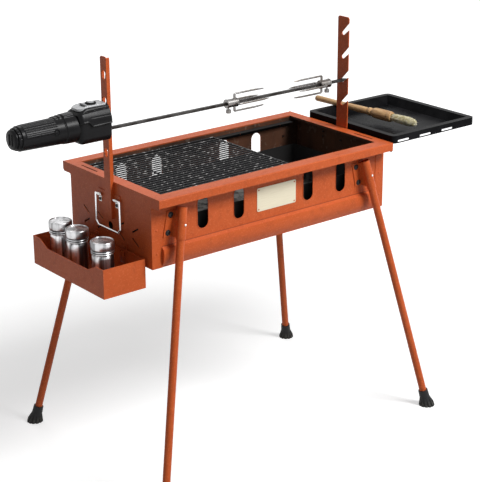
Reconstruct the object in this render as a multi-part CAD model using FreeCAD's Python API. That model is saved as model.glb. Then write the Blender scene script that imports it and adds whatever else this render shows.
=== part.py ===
import FreeCAD, Part
import math
import os

V = FreeCAD.Vector

# Portable charcoal grill with a battery rotisserie.  Millimetres, +Z up, front is -Y.
# Every piece is drawn about the middle of the firebox and moved to the origin when it is written.

# ---- firebox ----
body_length = 730.0          # outer faces of the two end panels
body_width = 336.0           # outer faces of the slotted panels
half_length, panel_y = body_length / 2, body_width / 2
body_bottom = 547.0
rim_height = 724.0           # top of the rolled rim
rim_overhang = 34.5
rim_drop = 19.0
rim_bend = 3.0               # outside radius of the bend along the rim
sheet = 1.2                  # thickness of all the folded steel sheet
crease_height = 598.0        # where the pressed bead under the slots starts
bead_out = 8.0
end_flange = 28.0            # flange of the end panels on the long panels
top_flange = 30.0            # inward flange on top of the end panels
slot_width = 33.0
slot_low, slot_high = 616.0, 697.0
slot_inner, slot_inset = 109.0, 148.0        # from the middle, and from the end panels
vent_height = 611.0
vent_bore = 20.0
slit_length, slit_width, slit_angle = 29.0, 4.0, 31.0
slit_places = (45.0, 103.0)
slit_rise = 14.5
plate_width, plate_height, plate_middle = 122.0, 59.0, (8.0, 650.0)

# ---- charcoal pan and grates ----
pan_end_gap, pan_side_gap = 31.0, 22.0       # from the outer faces of the firebox
pan_floor, pan_top, pan_sheet = 560.0, 651.0, 1.0
ledge_width, ledge_depth = 16.0, 12.0
ledge_top = 710.4
ledge_end_gap, grate_end_gap, grate_length = 32.0, 34.0, 397.0
grate_wire, grate_bar, grate_pitch = 5.0, 4.0, 14.0

# ---- legs ----
leg_inset, leg_out, leg_top_height = 79.0, 15.0, 688.0    # axis of a leg at the open top of its socket
leg_spread_x, leg_spread_y = 148.0, 109.0                 # how far a leg splays out down to the ground
leg_radius, leg_wall = 9.5, 1.4
socket_wall, socket_length, socket_gap = 1.7, 75.0, 0.3
flange_gap, flange_width = 9.5, 23.0                      # from the socket to the middle of the flange
flange_low, flange_high = 619.0, 681.0
bracket_sheet = 2.0
bracket_screw_heights = (629.0, 671.0)
button_drop, button_radius = 41.0, 3.0
foot_height, foot_wall, foot_flare = 46.0, 3.1, 7.9
tube_seat = 14.0             # how far above the ground a tube stands in its ferrule

# ---- rotisserie posts ----
spit_y, spit_z = -8.0, 851.0
post_pitch = 62.0            # step between keyholes and between notches
post_sheet = 2.0
left_post_width, left_post_depth = 25.0, 9.5
right_post_width, right_post_sheet = 41.0, 2.5
post_bottom, left_post_top, right_post_top = 634.0, 1022.0, 1018.0
lobe_radius, keyhole_radius, keyhole_rise = 6.45, 7.8, 7.0
notch_room, notch_angle = 3.6, 42.0          # wider than the rod's side, as the rod turns in it
ear_half, ear_low, ear_high = 46.0, 656.0, 694.0

# ---- carrying bail ----
bail_wire, bail_half_width, bail_drop = 2.5, 50.0, 78.0
bail_pivot_z = 682.0
clip_place, clip_width, clip_sheet = 35.0, 11.0, 1.3

# ---- motor unit ----
motor_z = 870.0
gearbox_gap, gearbox_length = 1.7, 85.8      # from the left post
gearbox_wall = 2.5
barrel_length = 146.0
barrel_front_radius, barrel_rear_radius, barrel_wall = 33.0, 29.0, 2.5
cap_length, cap_radius, cap_plug = 16.0, 26.5, 8.0
cell_radius, cell_length = 16.6, 61.5
socket_bore_gap = 0.12
drive_radius = 8.0

# ---- spit and forks ----
rod_side = 7.0
rod_overhang = 22.0          # beyond the right end panel
rod_taper = 16.0
fork_collar_radius, fork_collar_length = 10.5, 34.0
fork_reach, tine_radius, tine_length = 22.0, 1.6, 92.0
left_fork_x, right_fork_x = -21.0, 319.0
rod_gap = 0.2

# ---- seasoning box and shakers ----
box_gap, box_depth = 8.0, 116.0
box_half, box_low, box_high = 152.0, 500.0, 572.0
box_dip, box_dip_half, box_dip_run = 17.0, 88.0, 33.0
hook_places, hook_width = (-60.0, 60.0), 22.0
hook_arm_z, hook_lip = 556.0, 10.0
box_lift_room = 20.0
bottle_gap, bottle_radius, bottle_cap_radius = 63.0, 25.0, 26.5      # gap from the box's inner wall to the axis
bottle_places = (111.0, 37.0, -71.0)
bottle_height, bottle_cap_height = 77.0, 31.0

# ---- side tray ----
tray_gap, tray_length = 6.0, 301.0
tray_front, tray_back = -197.0, 135.0
tray_top, tray_depth, tray_skirt, tray_rim = 738.0, 22.0, 20.0, 16.0
tray_slope, tray_sheet = 15.0, 1.0
tray_slot_length, tray_slot_height = 40.0, 5.0
tray_slots = (36.0, 115.0, 195.0)            # from the tray's inner edge
arm_radius, arm_places, arm_reach = 3.0, (-118.0, 62.0), 245.0

# ---- basting brush ----
brush_butt = (84.0, 196.0)                   # x from the tray's inner edge
brush_tip = (137.0, -146.0)
handle_length = 263.0

rim_y = panel_y + rim_overhang
inside_x = half_length - sheet
slot_places = [sx * x for sx in (-1, 1) for x in (slot_inner, half_length - slot_inset)]
pan_length, pan_width = body_length - 2 * pan_end_gap, body_width - 2 * pan_side_gap
grate_left = -half_length + grate_end_gap
grate_right = grate_left + grate_length
leg_top = (half_length - leg_inset, panel_y + leg_out, leg_top_height)
leg_foot = (leg_top[0] + leg_spread_x, leg_top[1] + leg_spread_y, 0.0)
socket_radius = leg_radius + socket_gap + socket_wall
flange_offset = socket_radius + flange_gap
foot_top_radius = leg_radius + foot_wall
foot_base_radius = foot_top_radius + foot_flare
notch_width = rod_side + notch_room
gearbox_front = -half_length - left_post_depth - gearbox_gap
gearbox_rear = gearbox_front - gearbox_length
gearbox_half_height = 38.0
pad_thickness, pad_length = 2.0, 69.8
switch_x, switch_radius = gearbox_front - 35.8, 8.0
gearhead_face = gearbox_front - 23.8
barrel_rear = gearbox_rear - barrel_length
cap_rear = barrel_rear - cap_length
cell_start = barrel_rear + 14.0
rod_tip = half_length + rod_overhang
box_inner = -half_length - box_gap
box_outer = box_inner - box_depth
bottle_x = box_inner - bottle_gap
tray_left = half_length + tray_gap
tray_right = tray_left + tray_length
origin_x = (cap_rear + tray_right) / 2


def box(x0, x1, y0, y1, z0, z1):
    return Part.makeBox(abs(x1 - x0), abs(y1 - y0), abs(z1 - z0), V(min(x0, x1), min(y0, y1), min(z0, z1)))


def round_edges(shape, radius, y, z):
    """Rounds the edges that run along X through (y, z)."""
    edges = [e for e in shape.Edges if e.BoundBox.XLength > 5 and e.BoundBox.YLength + e.BoundBox.ZLength < 1e-6
             and abs(e.BoundBox.YMin - y) + abs(e.BoundBox.ZMin - z) < 1e-6]
    return shape.makeFillet(radius, edges)


def rod(start, end, radius):
    start, end = V(*start), V(*end)
    return Part.makeCylinder(radius, (end - start).Length, start, end - start)


def cone(start, end, r0, r1):
    start, end = V(*start), V(*end)
    return Part.makeCone(r0, r1, (end - start).Length, start, end - start)


def ball(centre, radius):
    return Part.makeSphere(radius, V(*centre))


def polygon(points):
    points = [V(*p) for p in points]
    return Part.Face(Part.makePolygon(points + points[:1]))


def prism_x(points, x0, x1):
    return polygon([(x0, y, z) for y, z in points]).extrude(V(x1 - x0, 0, 0))


def prism_y(points, y0, y1):
    return polygon([(x, y0, z) for x, z in points]).extrude(V(0, y1 - y0, 0))


def prism_z(points, z0, z1):
    return polygon([(x, y, z0) for x, y in points]).extrude(V(0, 0, z1 - z0))


def join(shapes):
    whole = shapes[0].multiFuse(shapes[1:]) if len(shapes) > 1 else shapes[0]
    return whole.removeSplitter()


def wire_rod(points, radius):
    """Round bar bent at each inner point."""
    runs = [rod(a, b, radius) for a, b in zip(points, points[1:])]
    return join(runs + [ball(p, radius) for p in points[1:-1]])


def turned(shape):
    """The same piece on the opposite corner or side of the grill."""
    copy = shape.copy()
    copy.rotate(V(0, 0, 0), V(0, 0, 1), 180)
    return copy


def revolve_x(points, y=0.0, z=0.0):
    """Solid of revolution about the line along X through (y, z); points are (x, radius)."""
    face = polygon([(x, y, z - r) for x, r in points])
    return face.revolve(V(0, y, z), V(1, 0, 0), 360)


def revolve_z(points, x=0.0, y=0.0):
    face = polygon([(x + r, y, z) for r, z in points])
    return face.revolve(V(x, y, 0), V(0, 0, 1), 360)


def pan_screw(place, direction, length, head=4.0, shank=2.0):
    """Cross-head screw with its head outside the place and its shank going in."""
    place, direction = V(*place), V(*direction)
    direction.normalize()
    side = V(0, 0, 1) if abs(direction.z) < 0.9 else V(1, 0, 0)
    across = direction.cross(side)
    top = place - direction * 2.2
    body = Part.makeCylinder(head, 1.4, place - direction * 1.4, direction)
    dome = Part.makeCone(head * 0.72, head, 0.8, top, direction)
    stem = Part.makeCylinder(shank, length, place, direction)
    screw = join([body, dome, stem])
    for a, b in ((side, across), (across, side)):
        corner = top - a * 1.8 - b * 0.45
        cut = Part.Face(Part.makePolygon([corner, corner + a * 3.6, corner + a * 3.6 + b * 0.9,
                                          corner + b * 0.9, corner]))
        screw = screw.cut(cut.extrude(direction * 0.9))
    return screw


def rivet(place, direction, length, radius=3.0):
    place, direction = V(*place), V(*direction)
    direction.normalize()
    top = place - direction * 1.2
    head = Part.makeCone(radius * 0.55, radius, 1.2, top, direction)
    return join([head, Part.makeCylinder(radius * 0.5, length, place, direction)])


# ---- where the fasteners sit ----
def leg_line(height, sx, sy):
    """Point on the axis of the leg of corner (sx, sy) at a height."""
    t = (leg_top[2] - height) / (leg_top[2] - leg_foot[2])
    return (sx * (leg_top[0] + t * (leg_foot[0] - leg_top[0])),
            sy * (leg_top[1] + t * (leg_foot[1] - leg_top[1])), height)


front_legs = {"lf": (-1, -1), "rf": (1, -1)}
back_legs = {"rb": "lf", "lb": "rf"}


def bracket_screw_places():
    """Screw points on the front panel; the back panel has the same ones turned half a turn."""
    return [(leg_line(h, sx, -1)[0] - flange_offset, h) for sx in (-1, 1) for h in bracket_screw_heights]


def flange_rivet_places():
    x = half_length - end_flange / 2
    return [(sx * x, z) for sx in (-1, 1) for z in (583.0, 640.0)]


def ledge_rivet_places():
    end = half_length - ledge_end_gap - 33.0
    return [(x, ledge_top - 7.0) for x in (-end, -162.0, 0.0, 162.0, end)]


def nameplate_rivet_places():
    return [(plate_middle[0] + sx * (plate_width / 2 - 5), plate_middle[1] + sz * (plate_height / 2 - 5))
            for sx in (-1, 1) for sz in (-1, 1)]


# ---- firebox ----
def long_panel():
    """Front panel: rolled rim, slotted wall, pressed bead, straight bottom edge."""
    outside = [(-rim_y, rim_height - rim_drop), (-rim_y, rim_height), (-panel_y + sheet, rim_height),
               (-panel_y + sheet, body_bottom), (-panel_y, body_bottom), (-panel_y, rim_height - sheet),
               (-rim_y + sheet, rim_height - sheet), (-rim_y + sheet, rim_height - rim_drop)]
    panel = round_edges(prism_x(outside, -inside_x, inside_x), rim_bend, -rim_y, rim_height)
    panel = round_edges(panel, rim_bend - sheet, -rim_y + sheet, rim_height - sheet)
    curl = box(-inside_x, inside_x, -rim_y, -rim_y + 7, rim_height - rim_drop - sheet, rim_height - rim_drop)
    bead_half = half_length - end_flange
    inner = -panel_y + sheet

    def bead(shift, x_in):
        top, low = crease_height - shift, body_bottom + shift
        a, b = V(0, inner - sheet + shift, top), V(0, inner - sheet - bead_out + shift, top - 6)
        c, d = V(0, inner - sheet - bead_out - 1.5 + shift, 0.55 * top + 0.45 * low), V(0, inner + 0.4 * shift, low)
        e, f = V(0, inner + shift, low), V(0, inner + shift, top)
        edges = [Part.LineSegment(a, b), Part.Arc(b, c, d)]
        if shift:
            edges += [Part.LineSegment(d, e), Part.LineSegment(e, f), Part.LineSegment(f, a)]
        else:
            edges += [Part.LineSegment(d, V(0, inner, top)), Part.LineSegment(V(0, inner, top), a)]
        face = Part.Face(Part.Wire([Part.Edge(e_.toShape()) if not isinstance(e_, Part.Edge) else e_
                                    for e_ in edges]))
        face.translate(V(-x_in, 0, 0))
        return face.extrude(V(2 * x_in, 0, 0))

    window = box(-bead_half + sheet, bead_half - sheet, -panel_y - 1, inner + 1,
                 body_bottom + sheet, crease_height - sheet)
    panel = join([panel.cut(window), curl, bead(0.0, bead_half).cut(bead(sheet, bead_half - sheet))])
    for x in slot_places:
        r = slot_width / 2
        panel = panel.cut(box(x - r, x + r, -panel_y - 1, inner + 1, slot_low + r, slot_high - r))
        for z in (slot_low + r, slot_high - r):
            panel = panel.cut(rod((x, -panel_y - 1, z), (x, inner + 1, z), r))
    for x, z in bracket_screw_places():
        panel = panel.cut(rod((x, -panel_y - 1, z), (x, inner + 1, z), 2.1))
    for x, z in flange_rivet_places() + ledge_rivet_places():
        panel = panel.cut(rod((x, -panel_y - 1, z), (x, inner + 1, z), 1.6))
    return panel


def front_panel():
    panel = long_panel()
    for x, z in nameplate_rivet_places():
        panel = panel.cut(rod((x, -panel_y - 1, z), (x, -panel_y + sheet + 1, z), 1.1))
    return panel


def end_panel():
    """Left end panel; the right one is the same piece turned round."""
    outer_y, x0, x1 = panel_y + sheet, -half_length, -inside_x
    ear = [(rim_y, rim_height), (rim_y, rim_height - rim_drop - sheet), (rim_y - 5, rim_height - rim_drop - 6),
           (outer_y + 3, rim_height - rim_drop - 6), (outer_y, rim_height - rim_drop - 10)]
    outline = [(y, z) for y, z in ear] + [(outer_y, body_bottom), (-outer_y, body_bottom)]
    outline += [(-y, z) for y, z in reversed(ear)]
    panel = prism_x(outline, x0, x1)
    inner_edge = -half_length + top_flange
    top = box(x0, inner_edge, -panel_y + sheet + 0.3, panel_y - sheet - 0.3, rim_height - sheet, rim_height)
    hem = box(inner_edge - sheet, inner_edge, -panel_y + sheet + 0.3, panel_y - sheet - 0.3,
              rim_height - 6, rim_height)
    slit = box(-half_length + 13, -half_length + 17, panel_y - 96, panel_y - 26, rim_height - 5, rim_height + 5)
    pieces = [panel, top.cut(slit), hem]
    flange_top = rim_height - rim_drop - 6
    for side in (-1, 1):
        face = [(x0, body_bottom), (-half_length + end_flange, body_bottom),
                (-half_length + end_flange, flange_top - 14), (-half_length + end_flange - 9, flange_top),
                (x0, flange_top)]
        pieces.append(prism_y(face, side * panel_y, side * outer_y))
    panel = join(pieces)
    for x, z in flange_rivet_places():
        if x < 0:
            panel = panel.cut(rod((x, -outer_y - 1, z), (x, outer_y + 1, z), 1.6))
    panel = panel.cut(rod((x0 - 1, 0, vent_height), (x1 + 1, 0, vent_height), vent_bore / 2))
    for side in (-1, 1):
        for place in slit_places:
            for rise in (-1, 1):
                slit = box(x0 - 1, x1 + 1, -slit_length / 2, slit_length / 2, -slit_width / 2, slit_width / 2)
                slit.rotate(V(0, 0, 0), V(1, 0, 0), side * rise * slit_angle)
                slit.translate(V(0, side * place, vent_height + rise * slit_rise))
                panel = panel.cut(slit)
    return panel


def left_end_panel():
    panel = end_panel()
    for y in (-clip_place, clip_place):
        panel = panel.cut(rod((-half_length - 1, y, clip_screw_z), (-inside_x + 1, y, clip_screw_z), 2.1))
    for y in hook_places:
        panel = panel.cut(rod((-half_length - 1, y, hook_rivet_z), (-inside_x + 1, y, hook_rivet_z), 1.6))
    return panel


def right_end_panel():
    panel = turned(end_panel())
    for y, z in right_screw_places():
        panel = panel.cut(rod((inside_x - 1, y, z), (half_length + 1, y, z), 2.1))
    return panel


clip_screw_z = bail_pivot_z - 12.0
hook_rivet_z = 574.0


def right_screw_places():
    posts = [(spit_y, z) for z in (652.0, 688.0)]
    arms = [(y, z) for y in arm_places for z in (684.0, 698.0)]
    return posts + arms


def bottom_panel():
    """Shallow tray that closes the firebox under the charcoal pan."""
    x, y, lip = inside_x - 0.3, panel_y - sheet - 0.3, 12.0
    tray = box(-x, x, -y, y, body_bottom, body_bottom + lip)
    return tray.cut(box(-x + sheet, x - sheet, -y + sheet, y - sheet, body_bottom + sheet, body_bottom + lip + 1))


def grate_ledges():
    """Angle strips inside the long panels that carry the cooking grate."""
    inner, end = panel_y - sheet, half_length - ledge_end_gap
    strips = []
    for side in (-1, 1):
        flat = box(-end, end, side * inner, side * (inner - ledge_width), ledge_top - sheet, ledge_top)
        wall = box(-end, end, side * inner, side * (inner - sheet), ledge_top - ledge_depth, ledge_top)
        strip = join([flat, wall])
        for x, z in ledge_rivet_places():
            strip = strip.cut(rod((x, side * (inner - 3), z), (x, side * (inner + 1), z), 1.6))
        strips.append(strip)
    return Part.makeCompound(strips)


def rivets():
    """Blind rivets of the flanges, ledges, nameplate and box hooks."""
    made = []
    outer = panel_y + sheet
    for side in (-1, 1):
        for x, z in flange_rivet_places():
            made.append(rivet((x, side * outer, z), (0, -side, 0), 3.0))
        for x, z in ledge_rivet_places():
            made.append(rivet((x, side * panel_y, z), (0, -side, 0), 3.0))
    for x, z in nameplate_rivet_places():
        made.append(rivet((x, -panel_y - 0.8, z), (0, 1, 0), 2.4, 2.0))
    for y in hook_places:
        made.append(rivet((-half_length - post_sheet, y, hook_rivet_z), (1, 0, 0), 3.6))
    return Part.makeCompound(made)


def nameplate():
    """Bare plate on four rivets."""
    x, z = plate_middle
    w, h = plate_width / 2, plate_height / 2
    plate = box(x - w, x + w, -panel_y - 0.8, -panel_y, z - h, z + h)
    plate = plate.makeFillet(4.0, [e for e in plate.Edges if abs(e.Vertexes[0].Y - e.Vertexes[1].Y) > 0.5])
    for px, pz in nameplate_rivet_places():
        plate = plate.cut(rod((px, -panel_y - 2, pz), (px, -panel_y + 1, pz), 1.1))
    return plate


def charcoal_pan():
    """Lift-out pan with air holes, on pressed feet."""
    x, y, t = pan_length / 2, pan_width / 2, pan_sheet
    pan = box(-x, x, -y, y, pan_floor, pan_top).cut(box(-x + t, x - t, -y + t, y - t, pan_floor + t, pan_top + 1))
    feet = [cone((fx, fy, body_bottom + sheet), (fx, fy, pan_floor + 0.5), 8.0, 11.0)
            for fx in (54 - x, 0, x - 54) for fy in (36 - y, y - 36)]
    pan = join([pan] + feet)
    for i in range(-5, 6):
        for j in (-1, 0, 1):
            place = (i * 56.0 + 28.0 * (j % 2), j * 55.0)
            if abs(place[0]) < x - 20:
                pan = pan.cut(rod(place + (pan_floor - 1,), place + (pan_floor + 2,), 6.0))
    return pan


def cooking_grate():
    """Welded wire grate over the left part of the firebox."""
    r, z = grate_wire / 2, ledge_top + grate_wire / 2
    y = panel_y - sheet - ledge_width / 2
    corners = [(grate_left, -y, z), (grate_right, -y, z), (grate_right, y, z), (grate_left, y, z)]
    wires = [rod(a, b, r) for a, b in zip(corners, corners[1:] + corners[:1])]
    wires += [ball(c, r) for c in corners]
    count = int(y / grate_pitch)
    for i in range(-count, count + 1):
        if abs(i) * grate_pitch < y - grate_wire:
            wires.append(rod((grate_left, i * grate_pitch, z), (grate_right, i * grate_pitch, z), grate_bar / 2))
    under = panel_y - sheet - ledge_width - 4
    for x in (grate_left + 110, grate_right - 110):
        wires.append(rod((x, -under, z - 3.4), (x, under, z - 3.4), 2.0))
    return join(wires)


# ---- legs ----
def leg_bracket(sx):
    """Bracket of a front leg: flat flange on the panel, slanted web and socket tube."""
    def ledge(offset, y0, y1, height, x_pad):
        x = leg_line(height, sx, -1)[0] + offset
        return [V(x - x_pad, y0, height), V(x + x_pad, y0, height), V(x + x_pad, y1, height), V(x - x_pad, y1, height)]

    def between(low, high):
        return Part.makeLoft([Part.makePolygon(low + low[:1]), Part.makePolygon(high + high[:1])], True, True)

    low, high, t = flange_low, flange_high, bracket_sheet
    flange = between(*[ledge(-flange_offset, -panel_y, -panel_y - t, h, flange_width / 2) for h in (low, high)])

    def web(height):
        start = leg_line(height, sx, -1)
        near = start[0] - flange_offset + flange_width / 2
        far, y = start[0] - 2.0, start[1]
        return [V(near - 2, -panel_y, height), V(near - 2, -panel_y - t, height),
                V(far - 3, y - 8.5, height), V(far, y - 7.0, height)]

    web_part = between(web(low), web(high))
    top = leg_line(leg_top[2], sx, -1)
    axis = V(*leg_line(0.0, sx, -1)) - V(*top)
    axis.normalize()
    bottom = V(*top) + axis * socket_length
    tube = rod(top, tuple(bottom), socket_radius)
    bore = rod(tuple(V(*top) - axis * 2), tuple(bottom + axis * 2), leg_radius + socket_gap)
    bracket = join([flange, web_part, tube]).cut(bore)
    for h in bracket_screw_heights:
        x = leg_line(h, sx, -1)[0] - flange_offset
        bracket = bracket.cut(rod((x, -panel_y - 9, h), (x, -panel_y + 1, h), 2.1))
    start, end, _ = button_line(sx)
    return bracket.cut(rod(start, end, button_radius + 0.06))


def leg_axis(sx):
    axis = V(*leg_line(leg_top[2], sx, -1)) - V(*leg_line(0.0, sx, -1))
    axis.normalize()
    return axis


def button_line(sx):
    """Line of a leg button: from the leg axis out of the front, and its direction."""
    axis = leg_axis(sx)
    centre = V(*leg_line(leg_top[2], sx, -1)) - axis * button_drop
    out = V(0.25, -1, 0)
    out = out - axis * out.dot(axis)
    out.normalize()
    return tuple(centre), tuple(centre + out * 20), out


def leg_tube(sx):
    axis = leg_axis(sx)
    base = V(*leg_line(0.0, sx, -1)) + axis * tube_seat
    top = V(*leg_line(leg_top[2], sx, -1)) - axis * 6.0
    tube = rod(tuple(base), tuple(top), leg_radius)
    tube = tube.cut(rod(tuple(base - axis), tuple(top + axis), leg_radius - leg_wall))
    start, end, _ = button_line(sx)
    return tube.cut(rod(start, end, button_radius + 0.06))


def foot(sx):
    """Rubber ferrule, flared and fluted, cut flat where it stands."""
    axis = leg_axis(sx)
    centre = V(*leg_line(0.0, sx, -1))
    low = -9.0
    profile = [(0, low), (foot_base_radius, low), (foot_base_radius, 5.0), (foot_base_radius - 2.5, 12.0),
               (foot_top_radius + 1.0, 25.0), (foot_top_radius, foot_height), (0, foot_height)]
    body = revolve_z(profile)
    for i in range(12):
        angle = math.radians(30 * i)
        x, y = math.cos(angle), math.sin(angle)
        reach = foot_base_radius + 1.6
        body = body.cut(rod((x * reach, y * reach, low - 1), (x * (foot_top_radius + 2.2), y * (foot_top_radius + 2.2), 27),
                            2.0))
    body = body.cut(rod((0, 0, tube_seat), (0, 0, foot_height + 1), leg_radius + 0.05))
    body.Placement = FreeCAD.Placement(centre, FreeCAD.Rotation(V(0, 0, 1), axis))
    return body.common(box(centre.x - 60, centre.x + 60, centre.y - 60, centre.y + 60, 0, 80))


def leg_button(sx):
    """Domed button riveted to the bent spring strip inside the tube; it locks the leg in its socket."""
    start, _, out = button_line(sx)
    start, axis = V(*start), leg_axis(sx)
    across = out.cross(axis)
    pad, strip, reach = 4.5, 0.6, socket_radius + 1.0
    pin = Part.makeCylinder(button_radius, reach - pad, start + out * pad, out)
    dome = Part.makeCone(button_radius, 1.4, 1.6, start + out * reach, out)
    head = Part.makeCylinder(button_radius + 1.2, 1.0, start + out * pad, out)

    def blade(s0, s1, r0, r1):
        corners = [start + axis * s0 + out * r0, start + axis * s1 + out * r1,
                   start + axis * s1 + out * (r1 + strip), start + axis * s0 + out * (r0 + strip)]
        corners = [c - across * 2.5 for c in corners]
        return Part.Face(Part.makePolygon(corners + corners[:1])).extrude(across * 5.0)

    front = pad - strip
    clip = join([blade(-5.0, 5.0, front, front), blade(-26.0, -5.0, 0.0, front), blade(-26.0, 4.0, 0.0, -3.4)])
    return Part.makeCompound([join([pin, dome, head]), clip])


def frame_screws():
    """Cross-head screws of the leg brackets, posts, bail clips, tray arms and gearbox."""
    made = []
    for x, z in bracket_screw_places():
        screw = pan_screw((x, -panel_y - bracket_sheet, z), (0, 1, 0), bracket_sheet + sheet + 3)
        made += [screw, turned(screw)]
    for y in (-clip_place, clip_place):
        made.append(pan_screw((-half_length - post_sheet - clip_sheet, y, clip_screw_z), (1, 0, 0),
                              post_sheet + clip_sheet + sheet + 3))
    for y, z in right_screw_places():
        made.append(pan_screw((half_length + right_post_sheet, y, z), (-1, 0, 0), right_post_sheet + sheet + 3))
    made += [pan_screw((gearbox_front - 2.2, y, z), (-1, 0, 0), 8.0, 2.8, 1.5) for y, z in housing_screw_places()]
    return Part.makeCompound(made)


# ---- posts ----
def left_post():
    """Channel post with teardrop keyholes and ears screwed to the end panel."""
    x0, x1 = -half_length - left_post_depth, -half_length
    w = left_post_width / 2
    outer = box(x0, x1, spit_y - w, spit_y + w, post_bottom, left_post_top)
    inner = box(x0 + post_sheet, x1 + 1, spit_y - w + post_sheet, spit_y + w - post_sheet,
                post_bottom - 1, left_post_top + 1)
    ears = box(-half_length - post_sheet, x1, -ear_half, ear_half, ear_low, ear_high)
    post = join([outer.cut(inner), ears])
    for side in (-1, 1):
        y = spit_y + side * w
        corner = [(y + side, left_post_top + 1), (y - side * 5, left_post_top + 1), (y + side, left_post_top - 5)]
        post = post.cut(prism_x(corner, x0 - 1, x1 + 1))
    for step in (-1, 0, 1, 2):
        z = spit_z + step * post_pitch
        low, high = (x0 - 1, spit_y, z), (x0 - 1, spit_y, z + keyhole_rise)
        lobe = rod(low, (x0 + post_sheet + 1, spit_y, z), lobe_radius)
        head = rod(high, (x0 + post_sheet + 1, spit_y, z + keyhole_rise), keyhole_radius)
        post = post.cut(lobe).cut(head)
    for y in (-clip_place, clip_place):
        post = post.cut(rod((-half_length - 4, y, clip_screw_z), (-half_length + 1, y, clip_screw_z), 2.1))
    return post


def right_post():
    """Flat post with four slanting notches that the spit drops into."""
    x0, x1, w = half_length, half_length + right_post_sheet, right_post_width / 2
    outline = [(spit_y - w, post_bottom), (spit_y + w, post_bottom), (spit_y + w, right_post_top - 4),
               (spit_y + w - 4, right_post_top), (spit_y - w + 4, right_post_top), (spit_y - w, right_post_top - 4)]
    post = prism_x(outline, x0, x1)
    r, a = notch_width / 2, math.radians(notch_angle)
    along, across = (-math.cos(a), math.sin(a)), (math.sin(a), math.cos(a))
    reach = (w + 6) / math.cos(a)
    for step in (-1, 0, 1, 2):
        y, z = spit_y, spit_z + step * post_pitch
        corners = []
        for distance, width in ((0, -r), (reach, -r - 2.0), (reach, r + 2.0), (0, r)):
            corners.append((y + along[0] * distance + across[0] * width, z + along[1] * distance + across[1] * width))
        post = post.cut(prism_x(corners, x0 - 1, x1 + 1)).cut(rod((x0 - 1, y, z), (x1 + 1, y, z), r))
    for z in (652.0, 688.0):
        post = post.cut(rod((x0 - 1, spit_y, z), (x1 + 1, spit_y, z), 2.1))
    return post


# ---- carrying bail ----
bail_x = -half_length - post_sheet - bail_wire - clip_sheet


def bail_handle():
    """Chromed wire handle whose two ends turn in the clips."""
    z0, z1, y = bail_pivot_z, bail_pivot_z - bail_drop, bail_half_width
    inner = clip_place - clip_width / 2 - 4
    points = [(bail_x, -inner, z0), (bail_x, -y, z0), (bail_x, -y, z1 + 9), (bail_x, -y + 9, z1),
              (bail_x, y - 9, z1), (bail_x, y, z1 + 9), (bail_x, y, z0), (bail_x, inner, z0)]
    return wire_rod(points, bail_wire)


def bail_clips():
    """Two saddle clips that hold the bail's ends."""
    clips = []
    face = -half_length - post_sheet
    outer = bail_wire + clip_sheet
    for side in (-1, 1):
        y0, y1 = side * clip_place - clip_width / 2, side * clip_place + clip_width / 2
        ring = rod((bail_x, y0, bail_pivot_z), (bail_x, y1, bail_pivot_z), outer)
        tab = box(face - clip_sheet, face, y0, y1, clip_screw_z - 6, bail_pivot_z)
        clip = join([ring, tab]).cut(rod((bail_x, y0 - 1, bail_pivot_z), (bail_x, y1 + 1, bail_pivot_z), bail_wire + 0.05))
        clips.append(clip.cut(rod((face - 5, side * clip_place, clip_screw_z),
                                  (face + 1, side * clip_place, clip_screw_z), 2.1)))
    return Part.makeCompound(clips)


# ---- motor unit ----
def gearbox_section(shrink):
    """Faceted section of the gearbox: wide lower body, step, sloping sides, flat top."""
    h, s = gearbox_half_height - shrink, shrink
    half = [(25 - s * 0.7, -h), (34 - s, -h + 10), (34 - s, 8 - s * 0.4), (29.5 - s, 11 - s * 0.4),
            (28 - s, 22 - s * 0.5), (20 - s * 0.7, h)]
    points = half + [(-y, z) for y, z in reversed(half)]
    return [(spit_y + y, motor_z + z) for y, z in points]


def gearbox_housing():
    """Moulded shell around the gearmotor, closed at the post by its own front wall."""
    front, rear, wall = gearbox_front - 2.2, gearbox_rear, gearbox_wall
    shell = prism_x(gearbox_section(0), rear + 12, front)
    taper = [[V(x, y, z) for y, z in gearbox_section(s)] for x, s in ((rear, 4.0), (rear + 12, 0.0))]
    loft = Part.makeLoft([Part.makePolygon(p + p[:1]) for p in taper], True, True)
    cavity = prism_x(gearbox_section(wall), rear + 12 - 0.1, front - wall)
    inner = [[V(x, y, z) for y, z in gearbox_section(s)] for x, s in ((rear + wall, 4.0 + wall), (rear + 12, wall))]
    hollow = Part.makeLoft([Part.makePolygon(p + p[:1]) for p in inner], True, True)
    shell = join([shell, loft]).cut(join([cavity, hollow]))
    shell = shell.cut(rod((rear - 1, spit_y, motor_z), (rear + 5, spit_y, motor_z), barrel_front_radius - 5.0))
    posts = [rod((gearhead_face + 0.2, spit_y + y, spit_z + 21), (front - 1, spit_y + y, spit_z + 21), 3.2)
             for y in (-11.0, 11.0)]
    shell = join([shell] + posts)
    for side in (-1, 1):
        y0 = spit_y + side * (left_post_width / 2 + 0.5)
        shell = join([shell, box(front - 0.5, gearbox_front + 4.0, y0, y0 + side * 2.5,
                                 spit_z - 12, spit_z + 36)])
    shell = shell.cut(rod((front - 5, spit_y, spit_z), (front + 2, spit_y, spit_z), 6.4))
    shell = shell.cut(rod((switch_x, spit_y, motor_z + gearbox_half_height - wall - 1),
                          (switch_x, spit_y, motor_z + gearbox_half_height + 1), switch_radius + 0.1))
    for y, z in housing_screw_places():
        shell = shell.cut(rod((front - wall - 1, y, z), (front + 1, y, z), 1.6))
    return shell


def housing_screw_places():
    return [(spit_y + y, motor_z + z) for y in (-25.0, 25.0) for z in (-24.0, -2.0)]


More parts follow.
